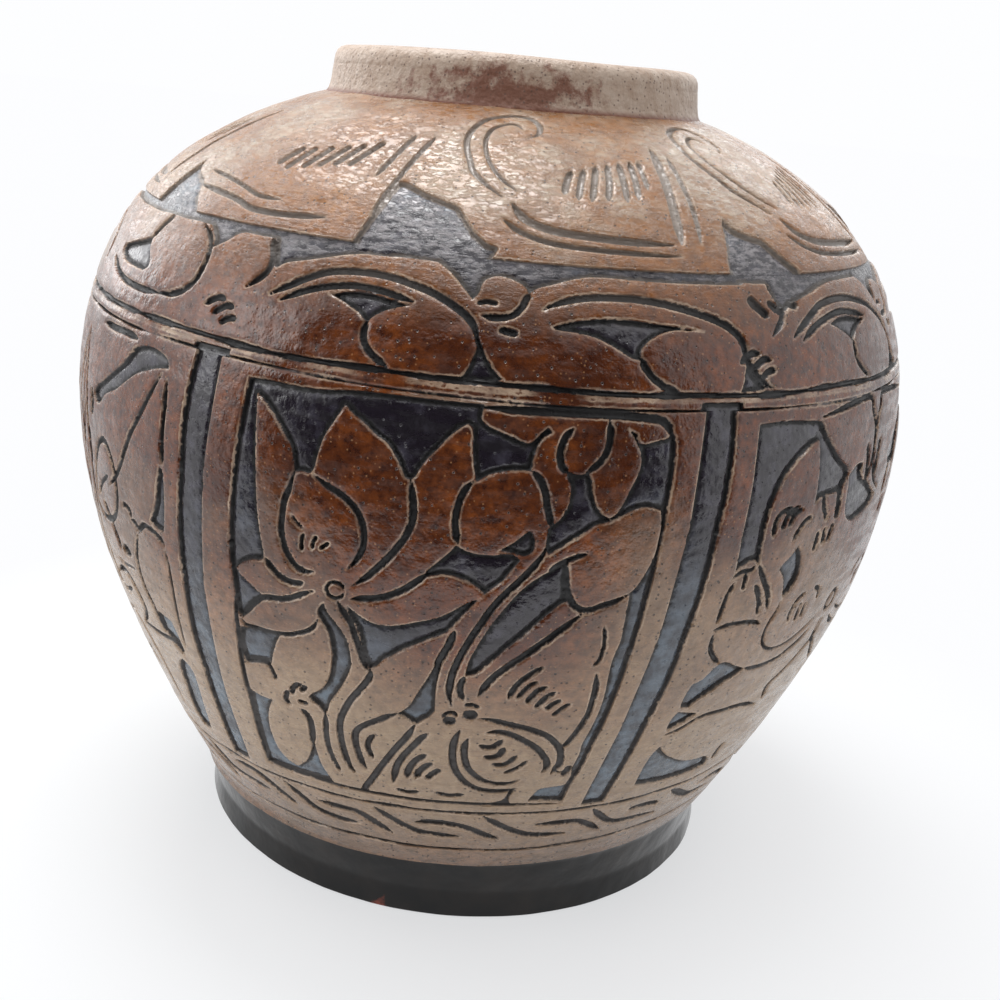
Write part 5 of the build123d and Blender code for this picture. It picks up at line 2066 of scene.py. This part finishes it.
@dataclass(frozen=True)
class Studio:
    """Pale floor, white surround, soft lamps, dark cards and the camera, in metres and watts."""

    surround: float = 0.6
    floor_size: float = 30
    floor_colour: Colour = (0.86, 0.88, 0.89)
    floor_roughness: float = 0.9
    floor_white: Colour = (0.98, 0.985, 1)
    floor_fade: Span = (0.13, 0.42, 0.6, 1)
    sky_white: Colour = (0.985, 0.99, 1)
    lamps: tuple[SoftLamp, ...] = (
        SoftLamp("overhead_softbox", (-0.28, 0.30, 1.5), 0.72, 1.45, 18.5),
        SoftLamp("left_fill", (-1.25, -0.6, 0.7), 0.8, 0.8, 3.0),
        SoftLamp("left_window", (-1.35, 0.75, 0.75), 1.1, 1.1, 8.0),
        SoftLamp("right_window", (0.62, 1.40, 0.92), 0.8, 0.8, 2.6),
    )
    card_colour: Colour = (0.02, 0.018, 0.018)
    card_edge: float = -0.53
    card_back: float = -0.95
    card_lift: float = 0.003
    card_height: float = 1.05
    card_width: float = 2.4

    def build(self) -> None:
        """Add everything round the jar."""
        self.floor()
        self.cards()
        self.sky()
        for lamp in self.lamps:
            lamp.build()
        Eye().build()
        bpy.context.scene.view_settings.view_transform = "Standard"

    @staticmethod
    def matt(name: str, colour: Colour, roughness: float) -> tuple[Material, Graph, bpy.types.Node]:
        """A plain matt material.

        Args:
            name: Its name.
            colour: Its colour.
            roughness: Its roughness.

        Returns:
            The material, its graph and its shader.
        """
        material = bpy.data.materials.new(name)
        material.use_nodes = True
        shader = material.node_tree.nodes["Principled BSDF"]
        shader.inputs["Base Color"].default_value = (*colour, 1)
        shader.inputs["Roughness"].default_value = roughness
        shader.inputs["Specular IOR Level"].default_value = 0.0
        return material, Graph(material.node_tree), shader

    def floor(self) -> None:
        """A wide pale floor that fades to the white surround, and keeps the jar's shadow."""
        deselect()
        bpy.ops.mesh.primitive_plane_add(size=self.floor_size)
        floor = bpy.context.active_object
        floor.name = "studio_floor"
        material, g, shader = self.matt("studio_floor", self.floor_colour, self.floor_roughness)
        away = g.vector("LENGTH", g.place()).outputs["Value"]
        white = g.add("ShaderNodeEmission", {"Color": (*self.floor_white, 1), "Strength": 1.0})
        share = g.times(g.spread(away, *self.floor_fade), g.seen())
        mix = g.add("ShaderNodeMixShader", {0: share, 1: shader.outputs[0], 2: white.outputs[0]})
        g.tree.links.new(mix.outputs[0], material.node_tree.nodes["Material Output"].inputs[0])
        floor.data.materials.append(material)

    def cards(self) -> None:
        """Two dark cards behind the camera, seen only where the glaze mirrors them."""
        material = self.matt("dark_card", self.card_colour, 1.0)[0]
        middle = (self.card_edge + self.card_back) / 2
        depth = self.card_edge - self.card_back
        flat = ("card_on_floor", (0, middle, self.card_lift), 0, depth)
        upright = ("card_upright", (0, self.card_back, self.card_height / 2), math.pi / 2,
                   self.card_height)
        for name, place, tilt, height in (flat, upright):
            deselect()
            bpy.ops.mesh.primitive_plane_add(size=1, location=place, rotation=(tilt, 0, 0))
            card = bpy.context.active_object
            card.name = name
            card.scale = (self.card_width, height, 1)
            bpy.ops.object.transform_apply(location=False, rotation=True, scale=True)
            card.data.materials.append(material)
            card.visible_camera = False
            card.visible_diffuse = False
            card.visible_shadow = False

    def sky(self) -> None:
        """White as seen and mirrored, and plainer as light."""
        world = bpy.data.worlds.new("studio_surround")
        bpy.context.scene.world = world
        world.use_nodes = True
        world.node_tree.nodes.clear()
        g = Graph(world.node_tree)
        light = g.add("ShaderNodeBackground", {"Color": (1, 1, 1, 1), "Strength": self.surround})
        white = g.add("ShaderNodeBackground", {"Color": (*self.sky_white, 1), "Strength": 1.0})
        mix = g.add("ShaderNodeMixShader", {0: g.seen(), 1: light.outputs[0], 2: white.outputs[0]})
        end = g.add("ShaderNodeOutputWorld")
        g.tree.links.new(mix.outputs[0], end.inputs[0])


@dataclass(frozen=True)
class Jar:
    """The whole jar: coat and mouth over the plain clay pieces."""

    coat: Coat = Coat()
    mouth: Mouth = Mouth()
    finishes: tuple[tuple[str, Finish], ...] = (
        ("glaze", CarvedGlaze("carved_glaze", 0.19)),
        ("foot_glaze", FootGlaze("foot_glaze", 0.17)),
        ("rim_glaze", CollarGlaze("collar_glaze", 0.48)),
        ("clay", BareClay("bare_clay", 0.85)),
        ("slip", BareClay("joining_slip", 0.9, body=(0.26, 0.15, 0.1))),
    )

    def build(self) -> None:
        """Make every piece, give it its finish and fix it to the jar's body."""
        materials = {slot: finish.make() for slot, finish in self.finishes}
        plans = (*self.coat.pieces(), *self.mouth.pieces())
        for plan, piece in [(plan, plan.build()) for plan in plans]:
            self.coat_with(piece, materials[plan.slot])
            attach(piece, "root")
            if plan.nodes:
                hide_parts(*plan.nodes)
            LOG.info("%s: %d faces", piece.name, len(piece.data.polygons))
        slots = {row["node"]: row["material_slot"] for row in frame["record"]["subparts"]}
        for title, node in frame["nodes"].items():
            self.coat_with(node, materials[slots[title]])
            LOG.info("%s keeps its shape, finished in %s", title, slots[title])

    @staticmethod
    def coat_with(piece: Object, material: Material) -> None:
        """Give a piece one material all over."""
        piece.data.materials.clear()
        piece.data.materials.append(material)


def main() -> None:
    """Build the jar and its studio."""
    logging.basicConfig(level=logging.INFO, format="%(message)s")
    Jar().build()
    Studio().build()


if __name__ == "__main__":
    main()
